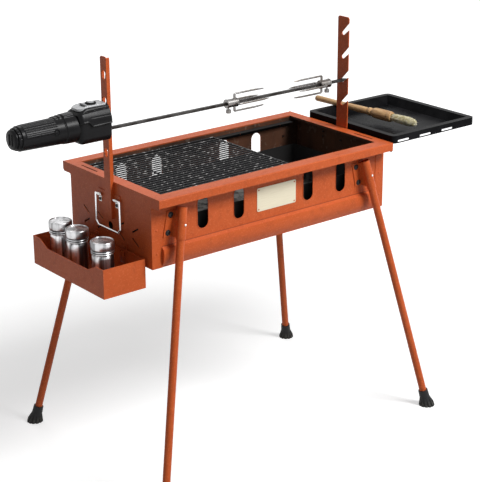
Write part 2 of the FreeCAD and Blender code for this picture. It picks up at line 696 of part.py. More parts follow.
def hanging_collar():
    """Collar that hangs in a keyhole of the post and lets the spit through."""
    post_face = -half_length - left_post_depth
    x0 = gearbox_front - 2.2
    flange = revolve_x([(x0, 0), (x0, 12.0), (post_face - 0.2, 12.0), (post_face - 0.2, 0)], spit_y, spit_z)
    neck = rod((x0 - 2.0, spit_y, spit_z), (post_face + post_sheet + 1.9, spit_y, spit_z), lobe_radius - 0.1)
    head = rod((post_face + post_sheet + 0.2, spit_y, spit_z), (post_face + post_sheet + 2.2, spit_y, spit_z),
               keyhole_radius - 0.4)
    bore = rod((x0 - 9, spit_y, spit_z), (post_face + 9, spit_y, spit_z), rod_side / math.sqrt(2) + rod_gap)
    return join([flange, neck, head]).cut(bore)


def battery_barrel():
    """Tapered battery tube with thumb ribs and cell rails."""
    x0, x1 = barrel_rear, gearbox_rear + 2.2
    r0, r1, t = barrel_rear_radius, barrel_front_radius, barrel_wall
    outer = [(x0, 0), (x0, r0 - 1), (x0 + 1, r0), (x1 - 34, r1 - 0.8), (x1 - 32, r1), (x1 - 2.2, r1),
             (x1 - 2.2, r1 - 5.2), (x1, r1 - 5.2), (x1, 0)]
    barrel = revolve_x(outer, spit_y, motor_z)
    cavity = revolve_x([(x0 - 1, 0), (x0 - 1, r0 - t), (x1 - 34, r1 - 0.8 - t), (x1 - 34, r1 - 8), (x1 + 1, r1 - 8),
                        (x1 + 1, 0)], spit_y, motor_z)
    barrel = barrel.cut(cavity)
    core = revolve_x([(x0, 0), (x0, r0 - t / 2), (x1 - 34, r1 - 0.8 - t / 2), (x1 - 34, 0)], spit_y, motor_z)
    rails = []
    for i in range(4):
        rail = box(x0 + cap_plug + 3, x1 - 35, -1.2, 1.2, cell_radius + 0.3, r1)
        rail.rotate(V(0, 0, 0), V(1, 0, 0), 45 + 90 * i)
        rail.translate(V(0, spit_y, motor_z))
        rails.append(rail.common(core))
    ribs = []
    for i in range(3):
        x = x1 - 40 + 9.0 * i
        rib = [(x, r1 - 4), (x + 6, r1 - 4), (x + 6, r1 + 2.0), (x + 1.5, r1 + 3.4)]
        ribs.append(prism_y([(px, motor_z + pz) for px, pz in rib], spit_y - 9, spit_y + 9))
    barrel = join([barrel] + rails + ribs)
    return barrel


def battery_cap():
    """Push-in cap at the rear end of the barrel."""
    x0, x1 = cap_rear, barrel_rear
    plug = barrel_rear_radius - barrel_wall - 0.3
    outer = [(x0, 0), (x0, cap_radius - 5), (x0 + 3, cap_radius - 2), (x0 + 9, cap_radius - 1), (x0 + 9, cap_radius),
             (x1 - 0.3, cap_radius), (x1 - 0.3, plug), (x1 + cap_plug, plug), (x1 + cap_plug, plug - 2.5),
             (x0 + 4, plug - 2.5), (x0 + 4, 0)]
    cap = revolve_x(outer, spit_y, motor_z)
    groove = box(x0 - 1, x0 + 2.0, spit_y - 2.5, spit_y + 2.5, motor_z - 15, motor_z + 15)
    return cap.cut(groove)


def switch_pad():
    z = motor_z + gearbox_half_height
    pad = box(gearbox_front - 6 - pad_length, gearbox_front - 6, spit_y - 17, spit_y + 17, z, z + pad_thickness)
    pad = pad.makeFillet(5.0, [e for e in pad.Edges if abs(e.Vertexes[0].Z - e.Vertexes[-1].Z) > 1])
    return pad.cut(rod((switch_x, spit_y, z - 1), (switch_x, spit_y, z + 4), switch_radius + 0.1))


def switch_button():
    z = motor_z + gearbox_half_height
    button = rod((switch_x, spit_y, z - 5.5), (switch_x, spit_y, z + pad_thickness + 2.6), switch_radius)
    top = [e for e in button.Edges if e.BoundBox.ZMin > z + pad_thickness + 2]
    return button.makeFillet(1.0, top)


def switch_block():
    """Contact block under the button."""
    z = motor_z + gearbox_half_height - 9.0
    block = box(switch_x - 9, switch_x + 9, spit_y - 6, spit_y + 6, gearhead_top + 0.2, z)
    return block


gearhead_radius = 18.0
gearhead_z = spit_z + 12.5
gearhead_top = gearhead_z + gearhead_radius


def gearmotor():
    """Sealed direct-current motor with its reduction head."""
    head = rod((gearhead_face, spit_y, gearhead_z), (gearhead_face - 22, spit_y, gearhead_z), gearhead_radius)
    can = rod((gearhead_face - 22, spit_y, gearhead_z), (gearhead_face - 52, spit_y, gearhead_z), 13.8)
    tail = rod((gearhead_face - 52, spit_y, gearhead_z), (gearhead_face - 55, spit_y, gearhead_z), 5.0)
    motor = join([head, can, tail])
    return motor.cut(rod((gearhead_face + 1, spit_y, spit_z), (gearhead_face - 10, spit_y, spit_z), 3.06))


def drive_socket():
    """Output shaft with the square socket that turns the spit."""
    x1 = gearbox_front - 2.2 - gearbox_wall - 0.3
    body = rod((gearhead_face + 0.3, spit_y, spit_z), (x1, spit_y, spit_z), drive_radius)
    shaft = rod((gearhead_face - 9, spit_y, spit_z), (gearhead_face + 0.5, spit_y, spit_z), 3.0)
    half = rod_side / 2 + socket_bore_gap
    bore = box(gearhead_face + 3.5, x1 + 1, spit_y - half, spit_y + half, spit_z - half, spit_z + half)
    return join([body, shaft]).cut(bore)


def battery_cells():
    cells = []
    for i in range(2):
        x = cell_start + i * cell_length
        body = rod((x, spit_y, motor_z), (x + cell_length - 1.6, spit_y, motor_z), cell_radius)
        nub = rod((x + cell_length - 1.7, spit_y, motor_z), (x + cell_length, spit_y, motor_z), 4.5)
        cells.append(join([body, nub]))
    return Part.makeCompound(cells)


def battery_contacts():
    """Coil contact behind the cells and plate contact in front of them."""
    x_end = cell_start + 2 * cell_length
    coil = []
    for i in range(4):
        x = cell_start - 1.3 - 2.4 * i
        ring = Part.makeTorus(9.0 + i * 1.2, 0.6, V(x, spit_y, motor_z), V(1, 0, 0))
        coil.append(ring)
    stay = box(cell_start - 9.3, cell_start - 0.1, spit_y - 1.2, spit_y + 1.2, motor_z + 8.0, motor_z + 13.2)
    plate = rod((x_end, spit_y, motor_z), (x_end + 0.8, spit_y, motor_z), 12.0)
    stem = rod((x_end + 0.5, spit_y, motor_z), (gearbox_rear + 2.0, spit_y, motor_z), 3.0)
    return Part.makeCompound([join(coil + [stay]), join([plate, stem])])


# ---- spit and forks ----
def spit_rod():
    s = rod_side / 2
    start = gearhead_face + 4.0
    bar = box(start, rod_tip - rod_taper, spit_y - s, spit_y + s, spit_z - s, spit_z + s)
    ends = []
    for x, k in ((rod_tip - rod_taper, s), (rod_tip, 0.6)):
        ends.append(Part.makePolygon([V(x, spit_y - k, spit_z - k), V(x, spit_y + k, spit_z - k),
                                      V(x, spit_y + k, spit_z + k), V(x, spit_y - k, spit_z + k),
                                      V(x, spit_y - k, spit_z - k)]))
    return join([bar, Part.makeLoft(ends, True, True)])


def fork(x, way):
    """Collar with four bent tines; way is the direction of the tines."""
    end = x + way * fork_collar_length
    collar = rod((x, spit_y, spit_z), (end, spit_y, spit_z), fork_collar_radius)
    pieces = [collar]
    root = x + way * (fork_collar_length - 5)
    for y, z in ((1, 0), (-1, 0), (0, 1), (0, -1)):
        def at(radius, along):
            return (along, spit_y + y * radius, spit_z + z * radius)
        corner = at(fork_reach, root)
        tip = at(fork_reach, root + way * (tine_length - 12))
        pieces += [rod(at(fork_collar_radius - 2, root), corner, tine_radius), ball(corner, tine_radius),
                   rod(corner, tip, tine_radius),
                   cone(tip, at(fork_reach, root + way * tine_length), tine_radius, 0.3)]
    whole = join(pieces)
    s = rod_side / 2 + rod_gap
    whole = whole.cut(box(x - way, end + way, spit_y - s, spit_y + s, spit_z - s, spit_z + s))
    hole_x = x + way * 8
    return whole.cut(rod((hole_x, spit_y, spit_z), (hole_x, spit_y, spit_z - 30), 2.56))


def fork_screw(x, way):
    """Knurled thumbscrew that clamps a fork on the spit."""
    hole_x = x + way * 8
    shank = rod((hole_x, spit_y, spit_z - rod_side / 2 - 0.25), (hole_x, spit_y, spit_z - 17), 2.5)
    head = rod((hole_x, spit_y, spit_z - 15.5), (hole_x, spit_y, spit_z - 24), 6.5)
    for i in range(12):
        a = math.radians(30 * i)
        cx, cy = hole_x + 6.9 * math.cos(a), spit_y + 6.9 * math.sin(a)
        head = head.cut(rod((cx, cy, spit_z - 25), (cx, cy, spit_z - 15), 0.9))
    return join([shank, head])


# ---- seasoning box ----
def seasoning_box():
    """Open box hung on the left end panel; the outer wall dips in the middle."""
    t, x0, x1, y = sheet, box_outer, box_inner, box_half
    tub = box(x0, x1, -y, y, box_low, box_high).cut(box(x0 + t, x1 - t, -y + t, y - t, box_low + t, box_high + 1))
    low = box_high - box_dip
    dip = [(-box_dip_half - box_dip_run, box_high + 1), (-box_dip_half - box_dip_run, box_high),
           (-box_dip_half, low), (box_dip_half, low), (box_dip_half + box_dip_run, box_high),
           (box_dip_half + box_dip_run, box_high + 1)]
    tub = tub.cut(prism_x(dip, x0 - 1, x0 + t + 1))
    for y in hook_places:
        tub = tub.cut(box(x1 - t - 1, x1 + 1, y - hook_width / 2 - 1.5, y + hook_width / 2 + 1.5,
                          hook_arm_z - box_lift_room, hook_arm_z + post_sheet))
    return tub


def box_hooks():
    """Two folded hooks riveted to the end panel."""
    made = []
    face, t = -half_length, post_sheet
    lip_x = box_inner - sheet - 1.5
    for y in hook_places:
        y0, y1 = y - hook_width / 2, y + hook_width / 2
        plate = box(face - t, face, y0, y1, hook_arm_z, hook_rivet_z + 7)
        arm = box(lip_x - t, face, y0, y1, hook_arm_z, hook_arm_z + t - 0.3)
        lip = box(lip_x - t, lip_x, y0, y1, hook_arm_z, hook_arm_z + hook_lip)
        hook = join([plate, arm, lip])
        made.append(hook.cut(rod((face - t - 1, y, hook_rivet_z), (face + 1, y, hook_rivet_z), 1.6)))
    return Part.makeCompound(made)


bottle_low = box_low + sheet + 0.3


def bottle(y):
    r, h, w = bottle_radius, bottle_height, 0.8
    low = bottle_low
    outer = [(0, low), (r - 2, low), (r, low + 2), (r, low + h - 6), (r - 2.5, low + h), (r - 2.5, low + h + 12),
             (r - 2.5 - w, low + h + 12), (r - 2.5 - w, low + h), (r - w, low + h - 7), (r - w, low + 2.5),
             (r - 3, low + w), (0, low + w)]
    return revolve_z(outer, bottle_x, y)


def bottle_cap(y):
    r, w = bottle_cap_radius, 0.8
    low = bottle_low + bottle_height + 0.3
    high = low + bottle_cap_height
    inner = bottle_radius - 2.5 + 0.3
    outer = [(inner, low), (r - 1, low), (r - 1, low + 11), (r - 2, low + 12.5), (r - 1, low + 14), (r - 1, low + 17),
             (r, low + 18.5), (r, high - 3), (r - 2, high), (0, high), (0, high - w), (r - 2.5, high - w),
             (r - w, high - 3.5), (r - w, low + 19), (inner, low + 17)]
    cap = revolve_z(outer, bottle_x, y)
    for i in range(7):
        a = math.radians(60 * i)
        k = 0.0 if i == 6 else 9.0
        place = (bottle_x + k * math.cos(a), y + k * math.sin(a))
        cap = cap.cut(rod(place + (high - 3,), place + (high + 1,), 1.5))
    return cap


# ---- side tray ----
def tray_shell(pad, top, low, x_in):
    """Sloping-sided block from the top opening down to the floor."""
    def ring(z, inset):
        pts = [V(tray_left + inset, tray_front + inset, z), V(tray_right - inset, tray_front + inset, z),
               V(tray_right - inset, tray_back - inset, z), V(tray_left + inset, tray_back - inset, z)]
        return Part.makePolygon(pts + pts[:1])
    return Part.makeLoft([ring(low, tray_rim + tray_slope + pad), ring(top, tray_rim + x_in + pad)], True, True)


def side_tray():
    """Pressed steel tray: flat rim, sloping walls, slotted skirt."""
    t, top, low = tray_sheet, tray_top, tray_top - tray_depth
    skirt = box(tray_left, tray_right, tray_front, tray_back, top - tray_skirt, top)
    skirt = skirt.makeFillet(14.0, [e for e in skirt.Edges if abs(e.Vertexes[0].Z - e.Vertexes[1].Z) > 1])
    hollow = box(tray_left + t, tray_right - t, tray_front + t, tray_back - t, top - tray_skirt - 1, top - t)
    hollow = hollow.makeFillet(13.0, [e for e in hollow.Edges if abs(e.Vertexes[0].Z - e.Vertexes[1].Z) > 1])
    skirt = skirt.cut(hollow)
    pan = tray_shell(-t, top, low, 0.0)
    tray = join([skirt, pan]).cut(tray_shell(0.0, top + 0.01, low + t, 0.0))
    for x in [tray_left + place for place in tray_slots]:
        h, w = tray_slot_height / 2, tray_slot_length / 2
        z = top - 14.5
        for y0, y1 in ((tray_front - 1, tray_front + t + 1), (tray_back - t - 1, tray_back + 1)):
            tray = tray.cut(box(x - w + h, x + w - h, y0, y1, z - h, z + h))
            for end in (x - w + h, x + w - h):
                tray = tray.cut(rod((end, y0, z), (end, y1, z), h))
    return tray


def tray_arms():
    """Round-bar frame screwed to the right end panel; the tray lies on it."""
    z = tray_top - tray_depth - arm_radius - 0.3
    x0, arm_end = half_length + right_post_sheet, half_length + arm_reach
    ends = [(x0 - 0.5, arm_places[0], z), (arm_end, arm_places[0], z), (arm_end, arm_places[1], z),
            (x0 - 0.5, arm_places[1], z)]
    pieces = [wire_rod(ends, arm_radius)]
    for y in arm_places:
        plate = box(half_length, x0, y - 9, y + 9, 676, z + 4)
        pieces.append(plate)
    arms = join(pieces)
    for y, screw_z in right_screw_places():
        if y in arm_places:
            arms = arms.cut(rod((half_length - 1, y, screw_z), (x0 + 1, y, screw_z), 2.1))
    return arms


# ---- basting brush ----
def on_brush(profile, place_x=0.0):
    """Revolve a profile of (distance from the butt, radius) along the brush."""
    face = polygon([(s, 0, r) for s, r in profile])
    solid = face.revolve(V(0, 0, 0), V(1, 0, 0), 360)
    dx, dy = brush_tip[0] - brush_butt[0], brush_tip[1] - brush_butt[1]
    run = math.hypot(dx, dy)
    high, low = tray_top + 10.3, tray_top - 1.0
    tilt = math.asin((high - low) / run)
    solid.rotate(V(0, 0, 0), V(0, 1, 0), math.degrees(tilt))
    solid.rotate(V(0, 0, 0), V(0, 0, 1), math.degrees(math.atan2(dy, dx)))
    solid.translate(V(tray_left + brush_butt[0], brush_butt[1], high))
    return solid


def brush_handle():
    """Turned beech handle with a thick head that holds the bristles."""
    profile = [(0, 0), (0, 5), (3, 7.5), (20, 8.2), (90, 7.2), (170, 8.6), (185, 9.2), (188, 10.8), (194, 11.2),
               (197, 10.2), (200, 12.6), (215, 14.0), (254, 14.6), (259, 13.6), (263, 13.2), (263, 9.0),
               (245, 9.0), (245, 0)]
    return on_brush(profile)


def brush_bristles():
    profile = [(245.0, 0), (245.0, 9.0), (263.0, 9.0), (270, 11.0), (300, 13.0), (333, 13.2), (341, 9.0), (344, 0)]
    return on_brush(profile)


def save(name, shape):
    placed = shape.copy()
    placed.translate(V(-origin_x, 0, 0))
    placed.exportStep("parts/" + name + ".step")
    solids = placed.Solids
    bad = [s for s in solids if not s.isValid() or s.Volume <= 0]
    print("%-18s %2d solids %10.0f mm3%s" % (name, len(solids), sum(s.Volume for s in solids), "  BAD" if bad else ""))


os.makedirs("parts", exist_ok=True)

for name, shape in (
        ("front_panel", front_panel()), ("back_panel", turned(long_panel())),
        ("left_end_panel", left_end_panel()), ("right_end_panel", right_end_panel()),
        ("bottom_panel", bottom_panel()), ("grate_ledges", grate_ledges()), ("rivets", rivets()),
        ("nameplate", nameplate()), ("charcoal_pan", charcoal_pan()), ("cooking_grate", cooking_grate()),
        ("frame_screws", frame_screws()), ("left_post", left_post()), ("right_post", right_post()),
        ("bail_handle", bail_handle()), ("bail_clips", bail_clips()),
        ("gearbox_housing", gearbox_housing()), ("hanging_collar", hanging_collar()),
        ("battery_barrel", battery_barrel()), ("battery_cap", battery_cap()), ("switch_pad", switch_pad()),
        ("switch_button", switch_button()), ("switch_block", switch_block()), ("gearmotor", gearmotor()),
        ("drive_socket", drive_socket()), ("battery_cells", battery_cells()),
        ("battery_contacts", battery_contacts()), ("spit_rod", spit_rod()),
        ("left_fork", fork(left_fork_x, 1)), ("right_fork", fork(right_fork_x, -1)),
        ("left_fork_screw", fork_screw(left_fork_x, 1)), ("right_fork_screw", fork_screw(right_fork_x, -1)),
        ("seasoning_box", seasoning_box()), ("box_hooks", box_hooks()), ("side_tray", side_tray()),
        ("tray_arms", tray_arms()), ("brush_handle", brush_handle()), ("brush_bristles", brush_bristles())):
    save(name, shape)

for number, y in enumerate(bottle_places, 1):
    save("shaker_%d" % number, bottle(y))
    save("shaker_cap_%d" % number, bottle_cap(y))

leg_pieces = (("leg_bracket_", leg_bracket), ("leg_tube_", leg_tube), ("foot_", foot), ("leg_button_", leg_button))
for prefix, make in leg_pieces:
    for corner, (sx, _) in front_legs.items():
        save(prefix + corner, make(sx))
    for corner, twin in back_legs.items():
        save(prefix + corner, turned(make(front_legs[twin][0])))
print("origin shift", -origin_x)
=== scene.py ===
import math
import random

import bpy
from mathutils import Matrix, Vector


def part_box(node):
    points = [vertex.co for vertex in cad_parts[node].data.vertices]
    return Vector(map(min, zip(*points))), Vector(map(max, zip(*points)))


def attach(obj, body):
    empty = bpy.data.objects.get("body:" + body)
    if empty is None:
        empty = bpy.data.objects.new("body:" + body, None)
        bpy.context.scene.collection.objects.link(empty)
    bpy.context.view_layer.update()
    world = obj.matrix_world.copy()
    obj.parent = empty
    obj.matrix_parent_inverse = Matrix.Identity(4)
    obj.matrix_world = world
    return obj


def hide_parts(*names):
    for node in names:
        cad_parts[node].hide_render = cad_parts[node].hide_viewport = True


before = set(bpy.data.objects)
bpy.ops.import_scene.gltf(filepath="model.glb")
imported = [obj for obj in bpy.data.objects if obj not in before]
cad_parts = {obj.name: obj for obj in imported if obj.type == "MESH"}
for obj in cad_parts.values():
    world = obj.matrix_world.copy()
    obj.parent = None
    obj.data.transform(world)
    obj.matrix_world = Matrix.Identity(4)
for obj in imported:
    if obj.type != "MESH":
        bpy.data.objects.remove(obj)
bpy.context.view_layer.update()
mm = 0.001


# ---- View and stage ----
# A pale floor under plain studio light: a soft key from the front right, so that the long panels are bright and
# the left end falls into shade, and a weak sky.  Only what the camera, gloss and glass see is lifted to white.

class Tap:
    """A socket of a paint; arithmetic on it adds Math nodes."""

    def __init__(self, paint, socket):
        self.paint = paint
        self.socket = socket

    def math(self, operation, *values):
        return self.paint.node("ShaderNodeMath", {"operation": operation}, values)

    def __add__(self, other):
        return self.math("ADD", self, other)

    def __sub__(self, other):
        return self.math("SUBTRACT", self, other)

    def __rsub__(self, other):
        return self.math("SUBTRACT", other, self)

    def __mul__(self, other):
        return self.math("MULTIPLY", self, other)

    def __abs__(self):
        return self.math("ABSOLUTE", self)

    def over(self, edge, soft):
        """0 below the edge, 1 above it, with a soft step."""
        return self.paint.node("ShaderNodeMapRange", {"interpolation_type": "SMOOTHSTEP"},
                               {"Value": self, "From Min": edge - soft / 2, "From Max": edge + soft / 2})

    def under(self, edge, soft):
        return 1 - self.over(edge, soft)

    def top(self, other):
        return self.math("MAXIMUM", self, other)

    __radd__ = __add__
    __rmul__ = __mul__


class Paint:
    """A procedural material; its places are measured on the piece itself, in metres."""

    def __init__(self, name):
        self.material = bpy.data.materials.new(name)
        self.material.use_nodes = True
        self.tree = self.material.node_tree
        self.shader = self.tree.nodes["Principled BSDF"]
        self.place = self.node("ShaderNodeTexCoord", output="Object")

    def plug(self, socket, value):
        if isinstance(value, Tap):
            self.tree.links.new(value.socket, socket)
        else:
            socket.default_value = value

    def node(self, kind, settings=(), inputs=(), output=0):
        made = self.tree.nodes.new(kind)
        for key, value in dict(settings).items():
            setattr(made, key, value)
        for key, value in (inputs.items() if isinstance(inputs, dict) else enumerate(inputs)):
            self.plug(made.inputs[key], value)
        return Tap(self, made.outputs[output])

    def axis(self, letter, source=None):
        return self.node("ShaderNodeSeparateXYZ", inputs=[source or self.place], output=letter)

    def facing(self, letter):
        """The outward direction of the surface along one axis."""
        return self.axis(letter, self.node("ShaderNodeNewGeometry", output="Normal"))

    def grain(self, scale, detail=3.0, stretch=(1, 1, 1), rough=0.55):
        """Noise with about scale spots to the metre."""
        where = self.node("ShaderNodeVectorMath", {"operation": "MULTIPLY"}, [self.place, stretch])
        return self.node("ShaderNodeTexNoise", inputs={"Vector": where, "Scale": scale, "Detail": detail,
                                                       "Roughness": rough})

    def mix(self, share, first, second):
        return self.node("ShaderNodeMix", {"data_type": "RGBA"}, {0: share, 6: first, 7: second}, 2)

    def bump(self, height, depth):
        return self.node("ShaderNodeBump", inputs={"Height": height, "Distance": depth, "Strength": 1.0})

    def shade(self, **sockets):
        """Sets or links sockets of the shader: base_color becomes Base Color."""
        for key, value in sockets.items():
            self.plug(self.shader.inputs[key.replace("_", " ").title().replace("Ior", "IOR")], value)
        return self.material


def tone(red, green, blue):
    return (red, green, blue, 1.0)


def look_from(azimuth, elevation, distance, target):
    """Place of an eye or lamp, and the turn that points it at the target."""
    a, e = math.radians(azimuth), math.radians(elevation)
    away = Vector((math.sin(a) * math.cos(e), -math.cos(a) * math.cos(e), math.sin(e)))
    return target + away * distance, (-away).to_track_quat("-Z", "Y")


target = Vector((0.0035, 0.0, 0.480))
camera = bpy.data.objects.new("camera", bpy.data.cameras.new("camera"))
camera.data.lens = 108.9
camera.data.sensor_width = 36.0
camera.location, turn = look_from(-38.5, 20.1, 3.737, target)
camera.rotation_euler = (turn @ Matrix.Rotation(math.radians(-0.3), 3, "Z").to_quaternion()).to_euler()
bpy.context.scene.collection.objects.link(camera)
bpy.context.scene.camera = camera
bpy.context.scene.view_settings.view_transform = "Standard"


def lamp(name, azimuth, elevation, distance, size, power):
    """Square lamp that shines at the target."""
    light = bpy.data.objects.new(name, bpy.data.lights.new(name, "AREA"))
    light.data.size = size
    light.data.energy = power
    light.location, turn = look_from(azimuth, elevation, distance, target)
    light.rotation_euler = turn.to_euler()
    bpy.context.scene.collection.objects.link(light)


lamp("key", 24, 47, 4.5, 1.5, 225)
lamp("fill", -82, 25, 4.5, 2.5, 7)
lamp("back", 165, 50, 4.5, 2.0, 30)

world = bpy.data.worlds.new("sky")
bpy.context.scene.world = world
world.use_nodes = True
tree = world.node_tree
path = tree.nodes.new("ShaderNodeLightPath")
seen = tree.nodes.new("ShaderNodeMath")
seen.operation = "ADD"
seen.use_clamp = True
both = tree.nodes.new("ShaderNodeMath")
both.operation = "ADD"
level = tree.nodes.new("ShaderNodeMapRange")
level.inputs["To Min"].default_value = 0.10
tree.links.new(path.outputs["Is Camera Ray"], both.inputs[0])
tree.links.new(path.outputs["Is Glossy Ray"], both.inputs[1])
tree.links.new(both.outputs[0], seen.inputs[0])
tree.links.new(path.outputs["Is Transmission Ray"], seen.inputs[1])
tree.links.new(seen.outputs[0], level.inputs["Value"])
tree.links.new(level.outputs[0], tree.nodes["Background"].inputs["Strength"])
tree.nodes["Background"].inputs["Color"].default_value = tone(1, 1, 1)

ground = Paint("pale_floor")
seen_ray = ground.node("ShaderNodeLightPath", output="Is Camera Ray")
seen_ray = seen_ray + ground.node("ShaderNodeLightPath", output="Is Glossy Ray")
seen_ray = seen_ray + ground.node("ShaderNodeLightPath", output="Is Transmission Ray")
away = ground.node("ShaderNodeVectorMath", {"operation": "LENGTH"}, [ground.place], "Value")
haze = ground.mix(away.over(1.7, 2.6), tone(0.56, 0.56, 0.56), tone(1, 1, 1))
ground.shade(base_color=tone(0.60, 0.60, 0.60), roughness=0.9, specular_ior_level=0.0,
             emission_color=ground.mix(seen_ray, tone(0, 0, 0), haze), emission_strength=1.0)


def piece(name, points, faces, material, body, slot_name, smooth=True, replaces=()):
    """A closed mesh that rides on a body and takes the given material; slot_name is not used."""
    mesh = bpy.data.meshes.new(name)
    mesh.from_pydata([tuple(p) for p in points], [], faces)
    mesh.validate()
    mesh.polygons.foreach_set("use_smooth", [smooth] * len(mesh.polygons))
    made = bpy.data.objects.new(name, mesh)
    made.data.materials.append(material)
    bpy.context.scene.collection.objects.link(made)
    if body:
        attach(made, body)
    if replaces:
        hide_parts(*replaces)
    return made


floor_half = 14.0
floor_corners = [(sx * floor_half, sy * floor_half, 0) for sx, sy in ((-1, -1), (1, -1), (1, 1), (-1, 1))]
floor = piece("floor", floor_corners, [(0, 1, 2, 3)], ground.material, None, None)


# ---- Powder-coated sheet and tube ----
# Folded steel sheet and steel tube in one orange-copper powder coat with a fine orange-peel surface; painted
# shade darkens the fold of the long panels.  Inside the firebox the coat is burnt dark brown and specked with
# ash.

panel_low, panel_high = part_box("front_panel")
rim_top = panel_high.z
face_y = -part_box("nameplate")[1].y
middle_x = (panel_low.x + panel_high.x) / 2
wall_x = (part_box("left_end_panel")[0].x + 1.3 * mm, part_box("right_end_panel")[1].x - 1.3 * mm)
legs = ["lf", "rf", "lb", "rb"]


def paint_nodes(material, *names):
    """Gives CAD nodes their finish."""
    for name in names:
        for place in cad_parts[name].material_slots:
            place.material = material


def powder_coat(name, inside, crease=None):
    """The orange coat; inside masks the burnt places, crease is the height of a fold darkened with painted
    shade.
    """
    paint = Paint(name)
    cloud = paint.grain(9.0, 4.0)
    fine = paint.grain(60.0, 3.0)
    fresh = paint.mix(cloud.over(0.5, 0.5), tone(0.480, 0.082, 0.016), tone(0.540, 0.098, 0.021))
    fresh = paint.mix(fine.over(0.60, 0.2) * 0.45, fresh, tone(0.38, 0.066, 0.015))
    fresh = paint.mix(paint.grain(260.0, 2.0).over(0.60, 0.12) * 0.30, fresh, tone(0.70, 0.19, 0.065))
    peel = paint.grain(1500.0, 2.0) + paint.grain(420.0, 2.0) * 0.7
    if crease:
        # Painted shade: a thin dark line mixed into the coat along the crease stands for the shade in the fold.
        crease_shade = 1 - abs(paint.axis("Z") - crease).over(0.9 * mm, 1.6 * mm)
        fresh = paint.mix(crease_shade * 0.75, fresh, tone(0.16, 0.032, 0.010))
    rough = 0.38 + fine * 0.14
    if inside:
        soot = inside(paint)
        streak = paint.grain(14.0, 5.0, (1, 1, 0.35))
        burnt = paint.mix(streak.over(0.5, 0.45), tone(0.030, 0.016, 0.010), tone(0.105, 0.042, 0.022))
        ash = paint.grain(55.0, 5.0).over(0.63, 0.1)
        burnt = paint.mix(ash * 0.35, burnt, tone(0.20, 0.15, 0.12))
        fresh = paint.mix(soot, fresh, burnt)
        rough = rough + soot * 0.35
    paint.shade(base_color=fresh, roughness=rough, coat_weight=0.0, specular_ior_level=0.22,
                normal=paint.bump(peel, 0.00012))
    return paint.material


def behind_long_wall(paint):
    """Inner side of the front and back panels, up to the rim."""
    side = abs(paint.axis("Y"))
    return side.under(face_y - 0.6 * mm, 0.2 * mm) * paint.axis("Z").under(rim_top - 2 * mm, 6 * mm)


def behind_end_wall(paint):
    """Inner side of the two end panels and of the bottom."""
    middle = (wall_x[0] + wall_x[1]) / 2
    side = abs(paint.axis("X") - middle)
    half = (wall_x[1] - wall_x[0]) / 2
    between = abs(paint.axis("Y")).under(face_y - 1.0 * mm, 0.2 * mm)
    return side.under(half + 0.5 * mm, 0.3 * mm) * between * paint.axis("Z").under(rim_top - 0.6 * mm, 0.4 * mm)


plain_coat = powder_coat("powder_coat", None)
crease_z = panel_low.z + 51.3 * mm
paint_nodes(powder_coat("powder_coat_long_panel", behind_long_wall, crease_z), "front_panel", "back_panel")
paint_nodes(powder_coat("powder_coat_end_panel", behind_end_wall), "left_end_panel", "right_end_panel",
            "bottom_panel")
paint_nodes(plain_coat, "left_post", "right_post", "seasoning_box", "box_hooks", "tray_arms", "rivets",
            *["leg_bracket_" + c for c in legs], *["leg_tube_" + c for c in legs])


def skin(rings, ends=True):
    """Points and faces of a closed skin over rings of equally many points."""
    count = len(rings[0])
    points = [p for ring in rings for p in ring]
    faces = []
    for k in range(len(rings) - 1):
        for i in range(count):
            j = (i + 1) % count
            faces.append((k * count + i, k * count + j, (k + 1) * count + j, (k + 1) * count + i))
    if ends:
        for ring, first, flip in ((rings[0], 0, True), (rings[-1], (len(rings) - 1) * count, False)):
            points.append(sum((Vector(p) for p in ring), Vector()) / count)
            centre = len(points) - 1
            for i in range(count):
                a, b = first + i, first + (i + 1) % count
                faces.append((centre, b, a) if flip else (centre, a, b))
    return points, faces


def merge(parts):
    """Several (points, faces) pairs as one."""
    points, faces = [], []
    for more, sides in parts:
        shift = len(points)
        points += more
        faces += [tuple(i + shift for i in side) for side in sides]
    return points, faces


def rounded(corners, radius, spacing):
    """Evenly spaced points along a closed outline with rounded corners."""
    path = []
    for k, corner in enumerate(corners):
        here, before, after = Vector(corner), Vector(corners[k - 1]), Vector(corners[(k + 1) % len(corners)])
        back, on = (before - here), (after - here)
        cut = min(radius, back.length * 0.45, on.length * 0.45)
        a, b = here + back.normalized() * cut, here + on.normalized() * cut
        path += [a * (1 - t) ** 2 + here * 2 * t * (1 - t) + b * t * t for t in (0, 0.25, 0.5, 0.75, 1)]
    path.append(path[0])
    lengths = [(q - p).length for p, q in zip(path, path[1:])]
    count = int(sum(lengths) / spacing)
    points, at, walked = [], 0, 0.0
    for k in range(count):
        want = sum(lengths) * k / count
        while walked + lengths[at] < want:
            walked += lengths[at]
            at += 1
        points.append(path[at].lerp(path[at + 1], (want - walked) / lengths[at]))
    return points


def crisp(made, angle=35):
    """Shades sharp corners of a smooth mesh as corners."""
    made.data.set_sharp_from_angle(angle=math.radians(angle))
    return made


def loop(path, radius):
    """Closed ring of round section along a closed path."""
    rings, count, sides = [], len(path), 10
    for k, here in enumerate(path):
        forward = (path[(k + 1) % count] - path[k - 1]).normalized()
        out = Vector((0, 1, 0))
        flat = forward.cross(out).normalized()
        rings.append([here + (out * math.cos(a) + flat * math.sin(a)) * radius
                      for a in (2 * math.pi * i / sides for i in range(sides))])
    points, faces = skin(rings, False)
    last = (count - 1) * sides
    faces += [(last + i, last + (i + 1) % sides, (i + 1) % sides, i) for i in range(sides)]
    return points, faces


slot_half, slot_low, slot_high = 16.4 * mm, 632.5 * mm, 680.5 * mm      # half width, centres of the round ends
slot_places = (109 * mm, 217 * mm)                                     # from the middle of the firebox
lip_radius = 1.15 * mm


